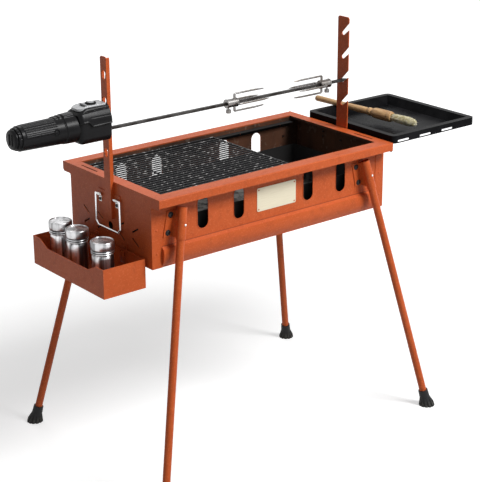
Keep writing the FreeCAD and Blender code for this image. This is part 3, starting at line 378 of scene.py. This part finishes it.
def slot_path(x, y):
    """Outline of one air slot."""
    turns = [math.pi * k / 14 for k in range(15)]
    top = [Vector((x + slot_half * math.cos(a), y, slot_high + slot_half * math.sin(a))) for a in turns]
    bottom = [Vector((x - slot_half * math.cos(a), y, slot_low - slot_half * math.sin(a))) for a in turns]
    return top + bottom


# The punched air slots keep a rolled lip, and a stay below each hook steadies the seasoning box.
for side, name in ((-1, "front"), (1, "back")):
    lips = [loop(slot_path(middle_x + sx * x, side * face_y), lip_radius)
            for sx in (-1, 1) for x in slot_places]
    piece("slot_lips_" + name, *merge(lips), plain_coat, "frame", "powder_coat")


def plate_x(x, thick, y_half, y, low, high):
    """Flat upright strip with rounded corners that lies against a face across X."""
    shape = rounded([(-y_half, low), (y_half, low), (y_half, high), (-y_half, high)], 4 * mm, 2 * mm)
    stack = ((x, 1.0), (x - thick * 0.8, 1.0), (x - thick, 0.97))
    return skin([[Vector((px, y + q.x * k, (low + high) / 2 + (q.y - (low + high) / 2) * k)) for q in shape]
                 for px, k in stack])


hook_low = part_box("box_hooks")[0]
hook_places, stay_low, stay_thick, stay_half = (-60 * mm, 60 * mm), 506 * mm, 1.8 * mm, 24 * mm
stays = [plate_x(panel_low.x - 1.3 * mm, stay_thick, stay_half, y, stay_low, hook_low.z - 0.4 * mm)
         for y in hook_places]
crisp(piece("hook_stays", *merge(stays), plain_coat, "frame", "powder_coat"), 40)


# ---- Nameplate ----
# A bare cream-coloured aluminium plate, finely brushed along its length.  It is stamped from thin sheet and
# held to the front panel by four small rivets.

plate = Paint("nameplate_satin")
lines = plate.grain(60.0, 4.0, (0.4, 1, 22))
plate.shade(base_color=plate.mix(lines.over(0.5, 0.6), tone(0.66, 0.60, 0.44), tone(0.76, 0.70, 0.54)),
            roughness=0.36 + lines * 0.15, metallic=0.25, normal=plate.bump(lines, 0.00002))
paint_nodes(plate.material, "nameplate")


# ---- Charcoal pan, ledges and grate ----
# Pressed steel pan in heat-proof black, greyed by ash on its floor.  The grate is welded round bar with a black
# non-stick coat, worn bright where food and tools have rubbed it; on the tops of its bars the brightening is
# partly painted highlight.

pan_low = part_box("charcoal_pan")[0]
pan = Paint("heat_black")
ash = pan.grain(38.0, 6.0, rough=0.65)
low_down = pan.axis("Z").under(pan_low.z + 35 * mm, 60 * mm)
pan.shade(base_color=pan.mix(ash.over(0.5, 0.3) * low_down, tone(0.018, 0.017, 0.017), tone(0.17, 0.16, 0.15)),
          roughness=0.62 + ash * 0.2, ior=1.25, normal=pan.bump(ash, 0.0006))
paint_nodes(pan.material, "charcoal_pan", "grate_ledges")

wire = Paint("grate_black")
rub = wire.grain(70.0, 5.0, rough=0.6)
# Wear and painted highlight: the bright rubbed patches are kept to the upward faces of the bars.
wear_and_highlight = rub.over(0.57, 0.10) * wire.facing("Z").over(0.5, 0.5)
wire.shade(base_color=wire.mix(wear_and_highlight, tone(0.006, 0.006, 0.007), tone(0.24, 0.235, 0.23)), metallic=wear_and_highlight * 0.7,
           roughness=0.30 + rub * 0.2, ior=1.28, normal=wire.bump(wire.grain(900.0), 0.00005))
paint_nodes(wire.material, "cooking_grate")


# ---- Screws ----
# Cross-head machine screws in glossy black oxide.  Those of the leg brackets, one above the other beside each
# leg, have broad heads on washers.

screw = Paint("black_oxide")
screw.shade(base_color=tone(0.012, 0.012, 0.013), roughness=0.26 + screw.grain(400.0) * 0.2, metallic=0.5)
paint_nodes(screw.material, "frame_screws")
# Painted shade: near-black for the cross recesses of the screw heads.
recess_shade = Paint("recess_painted_shade")
recess_shade.shade(base_color=tone(0.003, 0.003, 0.003), roughness=0.7 + recess_shade.grain(400.0) * 0.2,
             specular_ior_level=0.1)


def turned(profile, start, axis, segments, swell=None):
    """Skin of a turned piece.

    The profile gives pairs of distance along the axis and radius; swell(distance, angle) adds to the radius.
    """
    axis = Vector(axis).normalized()
    side = axis.orthogonal().normalized() if abs(axis.x) < 0.99 else Vector((0, 0, 1))
    other = axis.cross(side)
    rings = []
    for along, radius in profile:
        ring = []
        for i in range(segments):
            angle = 2 * math.pi * i / segments
            r = max(radius + (swell(along, angle) if swell else 0.0), 1e-5)
            ring.append(Vector(start) + axis * along + (side * math.cos(angle) + other * math.sin(angle)) * r)
        rings.append(ring)
    return skin(rings)


head_shape = [(0, 7.2 * mm), (0.8 * mm, 7.2 * mm), (1.1 * mm, 6.8 * mm), (1.2 * mm, 5.7 * mm),
              (2.4 * mm, 5.5 * mm), (3.2 * mm, 4.6 * mm), (3.7 * mm, 3.2 * mm), (3.8 * mm, 0.5 * mm)]
screw_heights, screw_beside = (629, 671), 21            # mm; beside the axis of the leg
leg_top_height, leg_top_x, leg_spread = 688, 286, 148   # mm; the legs lean out by leg_spread down to the ground
bracket_sheet = 2 * mm
cross_turn, cross_half, cross_wide = 0.5, 2.6, 0.5      # radians; mm
heads, cross_shade_bars = [], []
for side in (1, -1):
    out = Vector((0, -side, 0))
    for sx in (-1, 1):
        for height in screw_heights:
            leg_x = leg_top_x + (leg_top_height - height) / leg_top_height * leg_spread
            screw_x = middle_x + side * (sx * leg_x - screw_beside) * mm
            place = Vector((screw_x, -side * (face_y + bracket_sheet), height * mm))
            heads.append(turned(head_shape, place, out, 40))
            # Two thin dark bars laid on each head are painted shade standing in for its cross recess.
            for a in (cross_turn, cross_turn + math.pi / 2):
                way = Vector((math.cos(a), 0, math.sin(a)))
                wide = way.cross(out)
                corners = [way * u * cross_half + wide * v * cross_wide
                           for u, v in ((1, 1), (1, -1), (-1, -1), (-1, 1))]
                cross_shade_bars.append(skin([[place + out * t * mm + c * mm for c in corners] for t in (3.4, 3.9)]))
crisp(piece("bracket_screw_heads", *merge(heads), screw.material, "frame", "black_screw"), 40)
piece("bracket_screw_recesses", *merge(cross_shade_bars), recess_shade.material, "frame", "black_screw", False)


# ---- Rubber ferrules ----
# Moulded black rubber, pushed over the end of each leg tube.  It is dusty at the flared rim where it meets the
# ground.

rubber = Paint("foot_rubber")
dust = rubber.grain(160.0, 5.0).over(0.5, 0.3) * rubber.axis("Z").under(14 * mm, 16 * mm)
rubber.shade(base_color=rubber.mix(dust * 0.6, tone(0.016, 0.016, 0.017), tone(0.10, 0.095, 0.085)),
             roughness=0.5 + dust * 0.3, ior=1.3, normal=rubber.bump(rubber.grain(700.0), 0.00008))
paint_nodes(rubber.material, *["foot_" + c for c in legs])


# ---- Bright steel: bail, clips, buttons, spit and forks ----
# The bail is chromed wire.  The square spit and the forks are stainless bar with fine draw lines, browned by
# heat where they hang over the fire; clips and spring buttons are zinc-plated.

chrome = Paint("chrome_wire")
chrome.shade(base_color=tone(0.78, 0.78, 0.79), metallic=1.0, roughness=0.10 + chrome.grain(220.0, 4.0) * 0.14)
paint_nodes(chrome.material, "bail_handle")

zinc = Paint("zinc_plate")
zinc.shade(base_color=zinc.mix(zinc.grain(90.0), tone(0.50, 0.50, 0.48), tone(0.70, 0.70, 0.68)), metallic=1.0,
           roughness=0.28 + zinc.grain(150.0) * 0.2)
paint_nodes(zinc.material, "bail_clips", "hanging_collar", "gearmotor", "drive_socket", "battery_contacts",
            *["leg_button_" + c for c in legs])

spit_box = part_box("spit_rod")
stainless = Paint("spit_stainless")
draw = stainless.grain(40.0, 4.0, (0.12, 6, 6))
fire_x = 0.13
over_fire = 1 - abs(stainless.axis("X") - fire_x).over(0.17, 0.12)
stain = stainless.grain(24.0, 5.0).over(0.45, 0.4) * over_fire
stainless.shade(base_color=stainless.mix(stain * 0.7, tone(0.30, 0.30, 0.30), tone(0.10, 0.07, 0.045)),
                metallic=1.0, roughness=0.22 + draw * 0.22, normal=stainless.bump(draw, 0.00003))
paint_nodes(stainless.material, "left_fork", "right_fork", "left_fork_screw", "right_fork_screw")

bar = Paint("spit_bar_browned")
bar_draw = bar.grain(40.0, 4.0, (0.12, 6, 6))
scale_spots = bar.grain(70.0, 5.0, (0.3, 1, 1)).over(0.52, 0.2)
bar.shade(base_color=bar.mix(scale_spots, tone(0.065, 0.062, 0.060), tone(0.022, 0.018, 0.016)), metallic=0.85,
          roughness=0.30 + bar_draw * 0.25, normal=bar.bump(bar_draw, 0.00004))
paint_nodes(bar.material, "spit_rod")


def hose(path, radii):
    """Closed skin of round section along an open path."""
    rings, out, sides = [], None, 14
    for k, here in enumerate(path):
        forward = (path[min(k + 1, len(path) - 1)] - path[max(k - 1, 0)]).normalized()
        out = (out - forward * out.dot(forward)).normalized() if out else forward.orthogonal().normalized()
        flat = forward.cross(out)
        rings.append([here + (out * math.cos(a) + flat * math.sin(a)) * radii[k]
                      for a in (2 * math.pi * i / sides for i in range(sides))])
    return skin(rings)


spit_centre = Vector((0, (spit_box[0].y + spit_box[1].y) / 2, (spit_box[0].z + spit_box[1].z) / 2))
hub_length, hub_middle = 29 * mm, 17 * mm       # from the hub's outer end
tine_out, tine_bend = 22 * mm, 3.2              # from the spit's axis; bend radius in mm
rim_shape = [(0, 10.6 * mm), (0.5 * mm, 11.4 * mm), (2.5 * mm, 11.4 * mm), (3 * mm, 10.6 * mm),
             (3 * mm, 6 * mm), (0, 6 * mm)]


def on_spit(x):
    return Vector((x, spit_centre.y, spit_centre.z))


for name, way in (("left_fork", 1), ("right_fork", -1)):
    low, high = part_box(name)
    hub_end, tine_end = (low.x + hub_length, high.x) if way > 0 else (high.x - hub_length, low.x)
    tines = []
    for k in range(4):
        out = Vector((0, math.cos(k * math.pi / 2), math.sin(k * math.pi / 2)))
        root = on_spit(hub_end)
        bend = [out * tine_out + Vector((-way * tine_bend * math.cos(t), 0, 0)) * mm
                + out * (tine_bend * math.sin(t) - tine_bend) * mm for t in (0, 0.4, 0.8, 1.2, math.pi / 2)]
        route = [root - Vector((way * tine_bend * mm, 0, 0)) + out * 9 * mm, root + bend[0] - out * 3 * mm]
        route += [root + b for b in bend]
        route += [root + out * tine_out + Vector((way * t * mm, 0, 0)) for t in (20, 60)]
        route += [on_spit(tine_end - way * t * mm) + out * r * mm
                  for t, r in ((16, 21.6), (7, 20.8), (0, 19.6))]
        width = [2.4] * (len(route) - 3) + [2.2, 1.5, 0.35]
        tines.append(hose(route, [w * mm for w in width]))
    hub_x = low.x + hub_middle if way > 0 else high.x - hub_middle
    rims = [turned(rim_shape, on_spit(hub_x + t * mm), (1, 0, 0), 48) for t in (-16.6, 13.4)]
    crisp(piece(name + "_tines", *merge(tines + rims), stainless.material, name, "spit_steel"), 50)


# ---- Motor unit ----
# Black ABS mouldings with a fine spark texture.  The barrel has flutes, a parting ridge that ends in a round
# boss, and three thumb steps before its collar.  The gearbox's upper shell laps over the lower one along an
# S-shaped line, and a light grey pad with a ring switch is set in its top.

gear_low, gear_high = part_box("gearbox_housing")
barrel_low, barrel_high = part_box("battery_barrel")
cap_low, cap_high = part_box("battery_cap")
motor_axis = Vector((0, (cap_low.y + cap_high.y) / 2, (cap_low.z + cap_high.z) / 2))

moulded = Paint("black_moulding")
speck = moulded.grain(1100.0, 2.0)
wear = moulded.grain(35.0, 4.0)
moulded.shade(base_color=moulded.mix(wear, tone(0.004, 0.004, 0.0045), tone(0.010, 0.010, 0.011)),
              roughness=0.20 + speck * 0.08 + wear * 0.12, ior=1.2,
              normal=moulded.bump(speck, 0.00004))
# Painted shade: matte near-black that fills the gap between barrel and gearbox; it also colours the switch
# bezel.
gap_shade_and_bezel = Paint("motor_gap_shade_and_bezel_black")
gap_shade_and_bezel.shade(base_color=tone(0.004, 0.004, 0.004), roughness=0.7 + gap_shade_and_bezel.grain(300.0) * 0.2, specular_ior_level=0.2)

near = math.radians(-79)         # the parting ridge, from the top towards the front side
boss_x = barrel_high.x - 62 * mm
collar_x = barrel_high.x - 35 * mm
rear_radius, front_radius = 29 * mm, 32.2 * mm


def step(value, edge, soft):
    """0 before the edge and 1 after it, smoothly over soft."""
    t = min(max((value - edge) / soft + 0.5, 0.0), 1.0)
    return t * t * (3 - 2 * t)


def from_top(angle):
    """Angle about the barrel, 0 at the top and -pi/2 at the near side."""
    return (angle + math.pi) % (2 * math.pi) - math.pi


def barrel_swell(along, angle):
    """Flutes, ridge, thumb steps and collar of the barrel, at a distance from its rear end."""
    x, a = barrel_low.x + along, from_top(angle)
    body = step(x, barrel_low.x + 9 * mm, 4 * mm) * (1 - step(x, collar_x - 3 * mm, 3 * mm))
    flutes = max(0.0, math.cos(a * 27)) ** 2 * (1 - step(abs(a), math.radians(66), math.radians(8)))
    flutes *= 1 - step(x, boss_x + 4 * mm, 5 * mm)
    shell = 0.9 * mm * (1 - step(abs(a), abs(near) + 0.02, 0.035))
    ridge = 1.5 * mm * math.exp(-((abs(a) - abs(near)) / 0.045) ** 2) * (1 - step(x, boss_x, 3 * mm))
    teeth = 0.0
    for begin, run, rise in ((-21, 8, 2.4), (-10, 8, 3.6), (1, 27, 4.6)):
        t = (x - collar_x) / mm - begin
        slope = 0.75 + 0.25 * min(max(t / run, 0), 1)
        teeth += rise * mm * step(t, 0.8, 1.6) * (1 - step(t, run, 1.0)) * slope
    teeth *= 1 - step(abs(a + 0.12), 0.50, 0.16)
    collar = 1.3 * mm * step(x, collar_x, 1.2 * mm)
    return body * (shell + ridge - 0.9 * mm * flutes) + teeth + collar


length = barrel_high.x - barrel_low.x
stations = [length * k / 230 for k in range(231)]
profile = [(0, rear_radius - 3 * mm), (0.3 * mm, rear_radius - 1.4 * mm)]
profile += [(t, rear_radius + (front_radius - rear_radius) * t / length)
            for t in stations if 1 * mm < t < length - 4 * mm]
profile += [(length - 3.6 * mm, front_radius - 0.4 * mm), (length - 3.2 * mm, front_radius - 4.5 * mm),
            (length, front_radius - 4.5 * mm)]
barrel_start = Vector((barrel_low.x, motor_axis.y, motor_axis.z))
barrel = piece("motor_barrel", *turned(profile, barrel_start, (1, 0, 0), 288, barrel_swell), moulded.material,
               "frame", "black_plastic", replaces=["battery_barrel"])
crisp(barrel, 50)

boss_out = Vector((0, math.sin(near), math.cos(near)))
boss_at = Vector((boss_x, motor_axis.y, motor_axis.z)) + boss_out * (front_radius - 3 * mm)
boss = [(0, 7.6 * mm), (3.2 * mm, 7.6 * mm), (4.2 * mm, 6.9 * mm), (4.3 * mm, 5.6 * mm), (3.4 * mm, 5.0 * mm),
        (2.6 * mm, 4.6 * mm), (2.5 * mm, 2.2 * mm), (3.3 * mm, 1.6 * mm), (3.4 * mm, 0.2 * mm)]
crisp(piece("motor_boss", *turned(boss, boss_at, boss_out, 48), moulded.material, "frame", "black_plastic"))

cap_length = cap_high.x - cap_low.x
cap_profile = [(0, 3 * mm), (0, 20.5 * mm), (0.8 * mm, 22 * mm), (3 * mm, 23.2 * mm), (4.5 * mm, 23.6 * mm),
               (5 * mm, 22.6 * mm), (7.6 * mm, 22.6 * mm), (8 * mm, 25.2 * mm), (9 * mm, 26.3 * mm),
               (14.2 * mm, 26.6 * mm), (15.7 * mm, 26.2 * mm), (15.7 * mm, 25.6 * mm), (16 * mm, 23 * mm),
               (cap_length - 1 * mm, 23 * mm), (cap_length, 22 * mm)]


def cap_swell(along, angle):
    """Finger notches around the cap, and a deeper latch notch below."""
    a = from_top(angle)
    edge = step(along, 8 * mm, 1 * mm) * (1 - step(along, 15.6 * mm, 0.4 * mm))
    grip = max(0.0, math.cos(a * 14)) ** 4 * 1.1 * mm
    latch = 3.4 * mm * (1 - step(abs(abs(a) - 2.75), 0.17, 0.06))
    return -edge * (grip + latch)


cap_start = Vector((cap_low.x, motor_axis.y, motor_axis.z))
cap = turned(cap_profile, cap_start, (1, 0, 0), 224, cap_swell)
bars = []
for side in (-1, 1):
    bar = [(0, 1.2 * mm), (0.4 * mm, 2.6 * mm), (26 * mm, 2.6 * mm), (26.4 * mm, 1.2 * mm)]
    foot = cap_start + Vector((0.4 * mm, side * 6 * mm, -13.2 * mm))
    bars.append(turned(bar, foot, (0, 0, 1), 20))
crisp(piece("motor_cap", *merge([cap] + bars), moulded.material, "battery_cap", "black_plastic",
            replaces=["battery_cap"]))

gear_rear, gear_front = gear_low.x, gear_high.x - 6.2 * mm
outline = [(14, -38), (27, -37), (33.5, -27), (34.5, -6), (34.5, 16), (31, 27), (25.5, 36.5), (21, 44.5),
           (17, 46.5)]
section = rounded(outline + [(-y, z) for y, z in reversed(outline)], 5.0, 0.9)


def gear_ring(x):
    """One section of the gearbox: shells, their S-shaped lap line and the groove below the pad."""
    along = (x - gear_rear) / mm
    rear = 1.0 - 0.16 * (1 - min(along / 11.0, 1.0)) ** 2.2
    line = 14.0 - 11.5 * step(along, 26.0, 13.0) + 0.02 * along
    ring = []
    for p in section:
        y, z = p.x, p.y
        side = step(abs(y), 20, 6)
        lap = step(z, line, 1.6)
        out = 1.0 + side * (0.052 * lap - 0.055 * (1 - lap) + 0.045 * math.exp(-((z - line - 1.8) / 1.5) ** 2))
        groove = math.exp(-((z - 36.5 - 0.03 * along) / 1.3) ** 2) * step(along, 17, 8)
        facet = math.exp(-((z - 24) / 0.9) ** 2) * step(along, 30, 10)
        out -= side * (0.075 * groove + 0.022 * facet)
        z = z - (1 - step(along, 14, 28)) * max(0.0, z - 34) * 0.8
        ring.append(Vector((x, motor_axis.y + y * out * rear * mm, motor_axis.z + z * rear * mm)))
    return ring


spacing = 1.2 * mm
count = int((gear_front - gear_rear) / spacing)
rings = [gear_ring(gear_rear + (gear_front - gear_rear) * k / count) for k in range(count + 1)]
first = [Vector((gear_rear - 0.2 * mm, motor_axis.y, motor_axis.z)).lerp(p, 0.82) for p in rings[0]]
last = [Vector((gear_front + 1.2 * mm, motor_axis.y, motor_axis.z)).lerp(p, 0.965) for p in rings[-1]]
last = [Vector((gear_front + 1.2 * mm, p.y, p.z)) for p in last]
crisp(piece("motor_gearbox", *skin([first] + rings + [last]), moulded.material, "frame", "black_plastic",
            replaces=["gearbox_housing"]), 40)

# A ring of this painted shade fills the gap between barrel and gearbox so that it reads dark.
gap_shade_profile = [(0, 20 * mm), (0, 29.6 * mm), (6 * mm, 29.6 * mm), (6 * mm, 20 * mm)]
gap_shade_start = Vector((barrel_high.x - 4 * mm, motor_axis.y, motor_axis.z))
piece("motor_gap_shade_ring", *turned(gap_shade_profile, gap_shade_start, (1, 0, 0), 96), gap_shade_and_bezel.material, "frame", "black_plastic",
      False)

pad = Paint("grey_pad")
pad_cloud = pad.grain(60.0, 4.0)
pad.shade(base_color=pad.mix(pad_cloud, tone(0.30, 0.305, 0.315), tone(0.42, 0.425, 0.435)),
          roughness=0.36 + pad_cloud * 0.12, metallic=0.2, normal=pad.bump(pad.grain(900.0), 0.00003))

pad_top = motor_axis.z + 49.4 * mm
switch_low, switch_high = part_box("switch_button")
switch_x = (switch_low.x + switch_high.x) / 2
pad_shape = [(-45, -12), (-36, -20), (28, -20), (30, -18), (30, 18), (28, 20), (-36, 20), (-45, 12)]
pad_outline = rounded(pad_shape, 2.5, 1.5)


def pad_ring(z, inset):
    """One outline of the pad; it slopes down at its rear end and along both sides."""
    ring = []
    for p in pad_outline:
        fall = step(-p.x, 36, 22) * 5.0 * mm + step(abs(p.y), 17, 5) * 1.2 * mm
        ring.append(Vector((switch_x + (p.x - math.copysign(inset, p.x)) * mm,
                            motor_axis.y + (p.y - math.copysign(inset, p.y)) * mm, z - fall)))
    return ring


pad_rings = [pad_ring(pad_top - down * mm, inset)
             for down, inset in ((5.5, 0.0), (1.0, 0.0), (0.3, 0.5), (0, 1.6))]
middle = [Vector((switch_x, motor_axis.y, pad_top)).lerp(p, 0.5) for p in pad_rings[-1]]
middle = [Vector((m.x, m.y, p.z)) for m, p in zip(middle, pad_rings[-1])]
rail = rounded([(-1.4, -15), (1.4, -15), (1.4, 15), (-1.4, 15)], 1.2, 1.2)
rail_x = 19.5       # mm behind the switch
rib = skin([[Vector((switch_x + (p.x * k - rail_x) * mm, motor_axis.y + p.y * k * mm, pad_top + z * mm))
             for p in rail] for z, k in ((-3.0, 1.0), (0.5, 1.0), (1.0, 0.86))])
bezel = turned([(0, 12.5 * mm), (2.2 * mm, 12.5 * mm), (2.8 * mm, 11.8 * mm), (2.8 * mm, 10.8 * mm),
                (2.2 * mm, 8.9 * mm), (0.8 * mm, 8.6 * mm)],
               Vector((switch_x, motor_axis.y, pad_top - 0.6 * mm)), (0, 0, 1), 72)
crisp(piece("motor_pad", *merge([skin(pad_rings), rib]), pad.material, "frame", "grey_pad",
            replaces=["switch_pad"]), 30)
crisp(piece("switch_bezel", *bezel, gap_shade_and_bezel.material, "frame", "grey_pad"), 30)
knob = [(0, 8.1 * mm), (0.6 * mm, 8.1 * mm), (1.3 * mm, 7.4 * mm), (1.4 * mm, 5.8 * mm), (0.9 * mm, 4.6 * mm),
        (0.7 * mm, 0.3 * mm)]
crisp(piece("switch_knob", *turned(knob, Vector((switch_x, motor_axis.y, pad_top + 2.25 * mm)), (0, 0, 1), 64),
            pad.material, "switch_button", "grey_pad", replaces=["switch_button"]), 30)

paint_nodes(moulded.material, "switch_block")

jacket = Paint("cell_jacket")
jacket.shade(base_color=jacket.mix(jacket.grain(80.0), tone(0.03, 0.04, 0.06), tone(0.05, 0.06, 0.08)),
             roughness=0.3 + jacket.grain(200.0) * 0.1)
paint_nodes(jacket.material, "battery_cells")


# ---- Shakers ----
# Spun stainless shakers: a straight body with a rounded shoulder, and a screw lid with two rolled beads, a
# tall plain band and a perforated top set inside its rim.  The spinning leaves fine lines around them.  Upright
# streaks of painted reflection run down body and lid, painted shade darkens the grooves between the lid's
# beads, and dark dots of painted shade mark its holes.

polished = Paint("polished_steel")
spun = polished.grain(30.0, 3.0, (1, 1, 40))
# Painted reflection: upright bright and dark streaks in the body's colour.
reflection_streaks = polished.grain(42.0, 3.0, (1, 1, 0.02))
painted_reflection = polished.mix(reflection_streaks.over(0.49, 0.14), tone(0.13, 0.13, 0.135), tone(0.80, 0.80, 0.81))
polished.shade(base_color=painted_reflection, metallic=1.0, roughness=0.26 + spun * 0.16,
               normal=polished.bump(spun, 0.00002))
lid_steel = Paint("lid_steel")
lathe_lines = lid_steel.grain(30.0, 3.0, (1, 1, 40))
# Painted reflection: upright light and dark streaks in the lid's colour.
lid_reflection_streaks = lid_steel.grain(55.0, 3.0, (1, 1, 0.05))
rise = lid_steel.axis("Z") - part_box("shaker_cap_1")[0].z
# Painted shade: the two grooves between the lid's beads are darkened almost to black.
low_groove_shade = 1 - abs(rise - 4.6 * mm).over(0.8 * mm, 0.5 * mm)
high_groove_shade = 1 - abs(rise - 9.9 * mm).over(0.9 * mm, 0.5 * mm)
groove_shade = low_groove_shade.top(high_groove_shade)
lid_painted_reflection = lid_steel.mix(lid_reflection_streaks.over(0.48, 0.2), tone(0.24, 0.24, 0.245), tone(0.66, 0.66, 0.67))
lid_steel.shade(base_color=lid_steel.mix(groove_shade, lid_painted_reflection, tone(0.03, 0.03, 0.03)),
                metallic=1.0, roughness=0.22 + lathe_lines * 0.16, normal=lid_steel.bump(lathe_lines, 0.00002))
# Painted shade: near-black for the holes in the lid tops.
hole_shade = Paint("lid_hole_painted_shade")
hole_shade.shade(base_color=tone(0.01, 0.01, 0.01), roughness=0.6 + hole_shade.grain(300.0) * 0.3, specular_ior_level=0.1)

body_shape = [(0, 21.5), (0.2, 23.6), (1.0, 25.2), (2.4, 26.0), (68, 26.0), (71, 25.6), (74, 24.0),
              (76.6, 22.6), (77, 22.0), (88, 22.0), (88.6, 21.4)]
lid_shape = [(0, 22.6), (0, 25.6), (0.6, 26.7), (2.0, 27.7), (3.4, 26.7), (4.2, 25.2), (5.0, 25.2), (5.8, 26.7),
             (7.2, 27.8), (8.6, 26.7), (9.4, 25.2), (10.4, 25.2), (11.4, 26.9), (12.6, 28.2), (13.4, 28.6),
             (26.6, 28.6), (28.4, 28.3), (30.0, 27.5), (30.9, 26.3), (31.0, 25.4), (30.5, 24.8), (29.6, 24.6),
             (29.8, 20.0), (30.4, 10.0), (30.6, 0.5)]
for number in (1, 2, 3):
    low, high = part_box("shaker_%d" % number)
    lid_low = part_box("shaker_cap_%d" % number)[0]
    foot = Vector(((low.x + high.x) / 2, (low.y + high.y) / 2, low.z))
    seat = Vector((foot.x, foot.y, lid_low.z))
    profile = [(t * mm, radius * mm) for t, radius in body_shape]
    crisp(piece("shaker_body_%d" % number, *turned(profile, foot, (0, 0, 1), 96), polished.material,
                "shaker_%d" % number, "shaker_steel", replaces=["shaker_%d" % number]), 45)
    profile = [(t * mm, radius * mm) for t, radius in lid_shape]
    crisp(piece("shaker_lid_%d" % number, *turned(profile, seat, (0, 0, 1), 96), lid_steel.material,
                "shaker_cap_%d" % number, "shaker_steel", replaces=["shaker_cap_%d" % number]), 45)
    # Dark dots of painted shade on the lid's top stand in for its holes.
    shade_dots = []
    for ring_radius, many in ((0.0, 1), (7.5, 6), (15.0, 12)):
        for k in range(many):
            angle = 2 * math.pi * k / many
            offset = Vector((ring_radius * mm * math.cos(angle), ring_radius * mm * math.sin(angle), 29.9 * mm))
            proud = 0.75 - 0.045 * ring_radius
            spot = [(0, 1.5 * mm), (proud * mm + 0.08 * mm, 1.5 * mm), (proud * mm + 0.1 * mm, 0.2 * mm)]
            shade_dots.append(turned(spot, seat + offset, (0, 0, 1), 14))
    piece("shaker_holes_%d" % number, *merge(shade_dots), hole_shade.material, "shaker_cap_%d" % number, "shaker_steel",
          False)


# ---- Side tray ----
# Pressed steel tray with a glossy black non-stick coat, faintly greasy on its floor.  It rests on the bar frame
# at the right end.

coated = Paint("tray_black")
grease = coated.grain(16.0, 5.0, rough=0.6)
film = coated.mix(grease.over(0.5, 0.4), tone(0.003, 0.003, 0.0035), tone(0.010, 0.010, 0.011))
coated.shade(base_color=film, roughness=0.14 + grease * 0.3, ior=1.09,
             normal=coated.bump(coated.grain(600.0), 0.00004))
paint_nodes(coated.material, "side_tray")


# ---- Basting brush ----
# A turned and oiled beech handle with a waist and grooved rings before its thick head; stiff natural bristles
# are bundled in the hollow end and splay a little.  The brush lies across the tray.

butt, tip = Vector((0.431, 0.196, 0.7483)), Vector((0.484, -0.146, 0.7370))
along = (tip - butt).normalized()
beech = Paint("oiled_beech")
fibre = beech.grain(30.0, 6.0, (9, 0.7, 9))
ring_lines = beech.grain(8.0, 2.0, (14, 1.2, 14))
wood = beech.mix(fibre.over(0.5, 0.35), tone(0.37, 0.195, 0.075), tone(0.62, 0.40, 0.19))
wood = beech.mix(ring_lines.over(0.6, 0.2) * 0.4, wood, tone(0.30, 0.14, 0.05))
beech.shade(base_color=wood, roughness=0.42 + fibre * 0.2, normal=beech.bump(fibre, 0.00008))
handle_shape = [(0, 2.0), (0.6, 4.6), (2.4, 6.8), (5, 7.9), (10, 8.4), (16, 8.2), (24, 8.0), (60, 7.9),
                (95, 8.1), (130, 8.8), (160, 9.4), (176, 9.5), (180, 8.6), (181, 8.0), (182.5, 8.0),
                (183.5, 9.6), (186, 10.8), (190, 11.3), (194, 10.8), (196, 9.2), (196.8, 8.8), (198.4, 8.8),
                (199.4, 10.8), (203, 12.9), (208, 13.9), (216, 14.3), (232, 14.6), (246, 14.6), (248, 14.0),
                (249, 13.9), (250, 14.5), (256, 14.3), (260, 13.7), (262.4, 12.9), (263, 12.0), (263, 9.6),
                (260, 9.2)]
profile = [(t * mm, radius * mm) for t, radius in handle_shape]
crisp(piece("brush_handle_turned", *turned(profile, butt, along, 72), beech.material, "basting_brush", "beech",
            replaces=["brush_handle"]), 50)

hair = Paint("bristle")
strand = hair.grain(160.0, 3.0)
hair.shade(base_color=hair.mix(strand.over(0.5, 0.3), tone(0.62, 0.55, 0.30), tone(0.90, 0.86, 0.68)),
           roughness=0.7 + strand * 0.15)
dice = random.Random(7)
across = along.orthogonal().normalized()
other = along.cross(across)
hair_count = 520
hairs = []
for k in range(hair_count):
    spread, angle = math.sqrt(dice.random()), dice.random() * 2 * math.pi
    side = across * math.cos(angle) + other * math.sin(angle)
    reach_out = 344 - 15 * spread ** 3 - 6 * dice.random()
    twist = (across * dice.uniform(-1, 1) + other * dice.uniform(-1, 1)) * 0.9 * mm
    stops = ((252, 8.6), (285, 10.8), (315, 12.0), (reach_out, 12.2 - 1.5 * spread))
    ring_set = []
    for order, (t, width) in enumerate(stops):
        centre = butt + along * (t * mm) + side * (width * spread * mm) + twist * (order / 3)
        thick = (0.55, 0.55, 0.5, 0.2)[order] * mm
        ring_set.append([centre + (across * math.cos(a) + other * math.sin(a)) * thick
                         for a in (0, 2 * math.pi / 3, 4 * math.pi / 3)])
    hairs.append(skin(ring_set))
core_shape = [(250 * mm, 8.4 * mm), (285 * mm, 9.6 * mm), (318 * mm, 10.4 * mm), (332 * mm, 7.0 * mm)]
core = turned(core_shape, butt, along, 24)
piece("brush_bundle", *merge([core] + hairs), hair.material, "basting_brush", "bristle", True,
      replaces=["brush_bristles"])
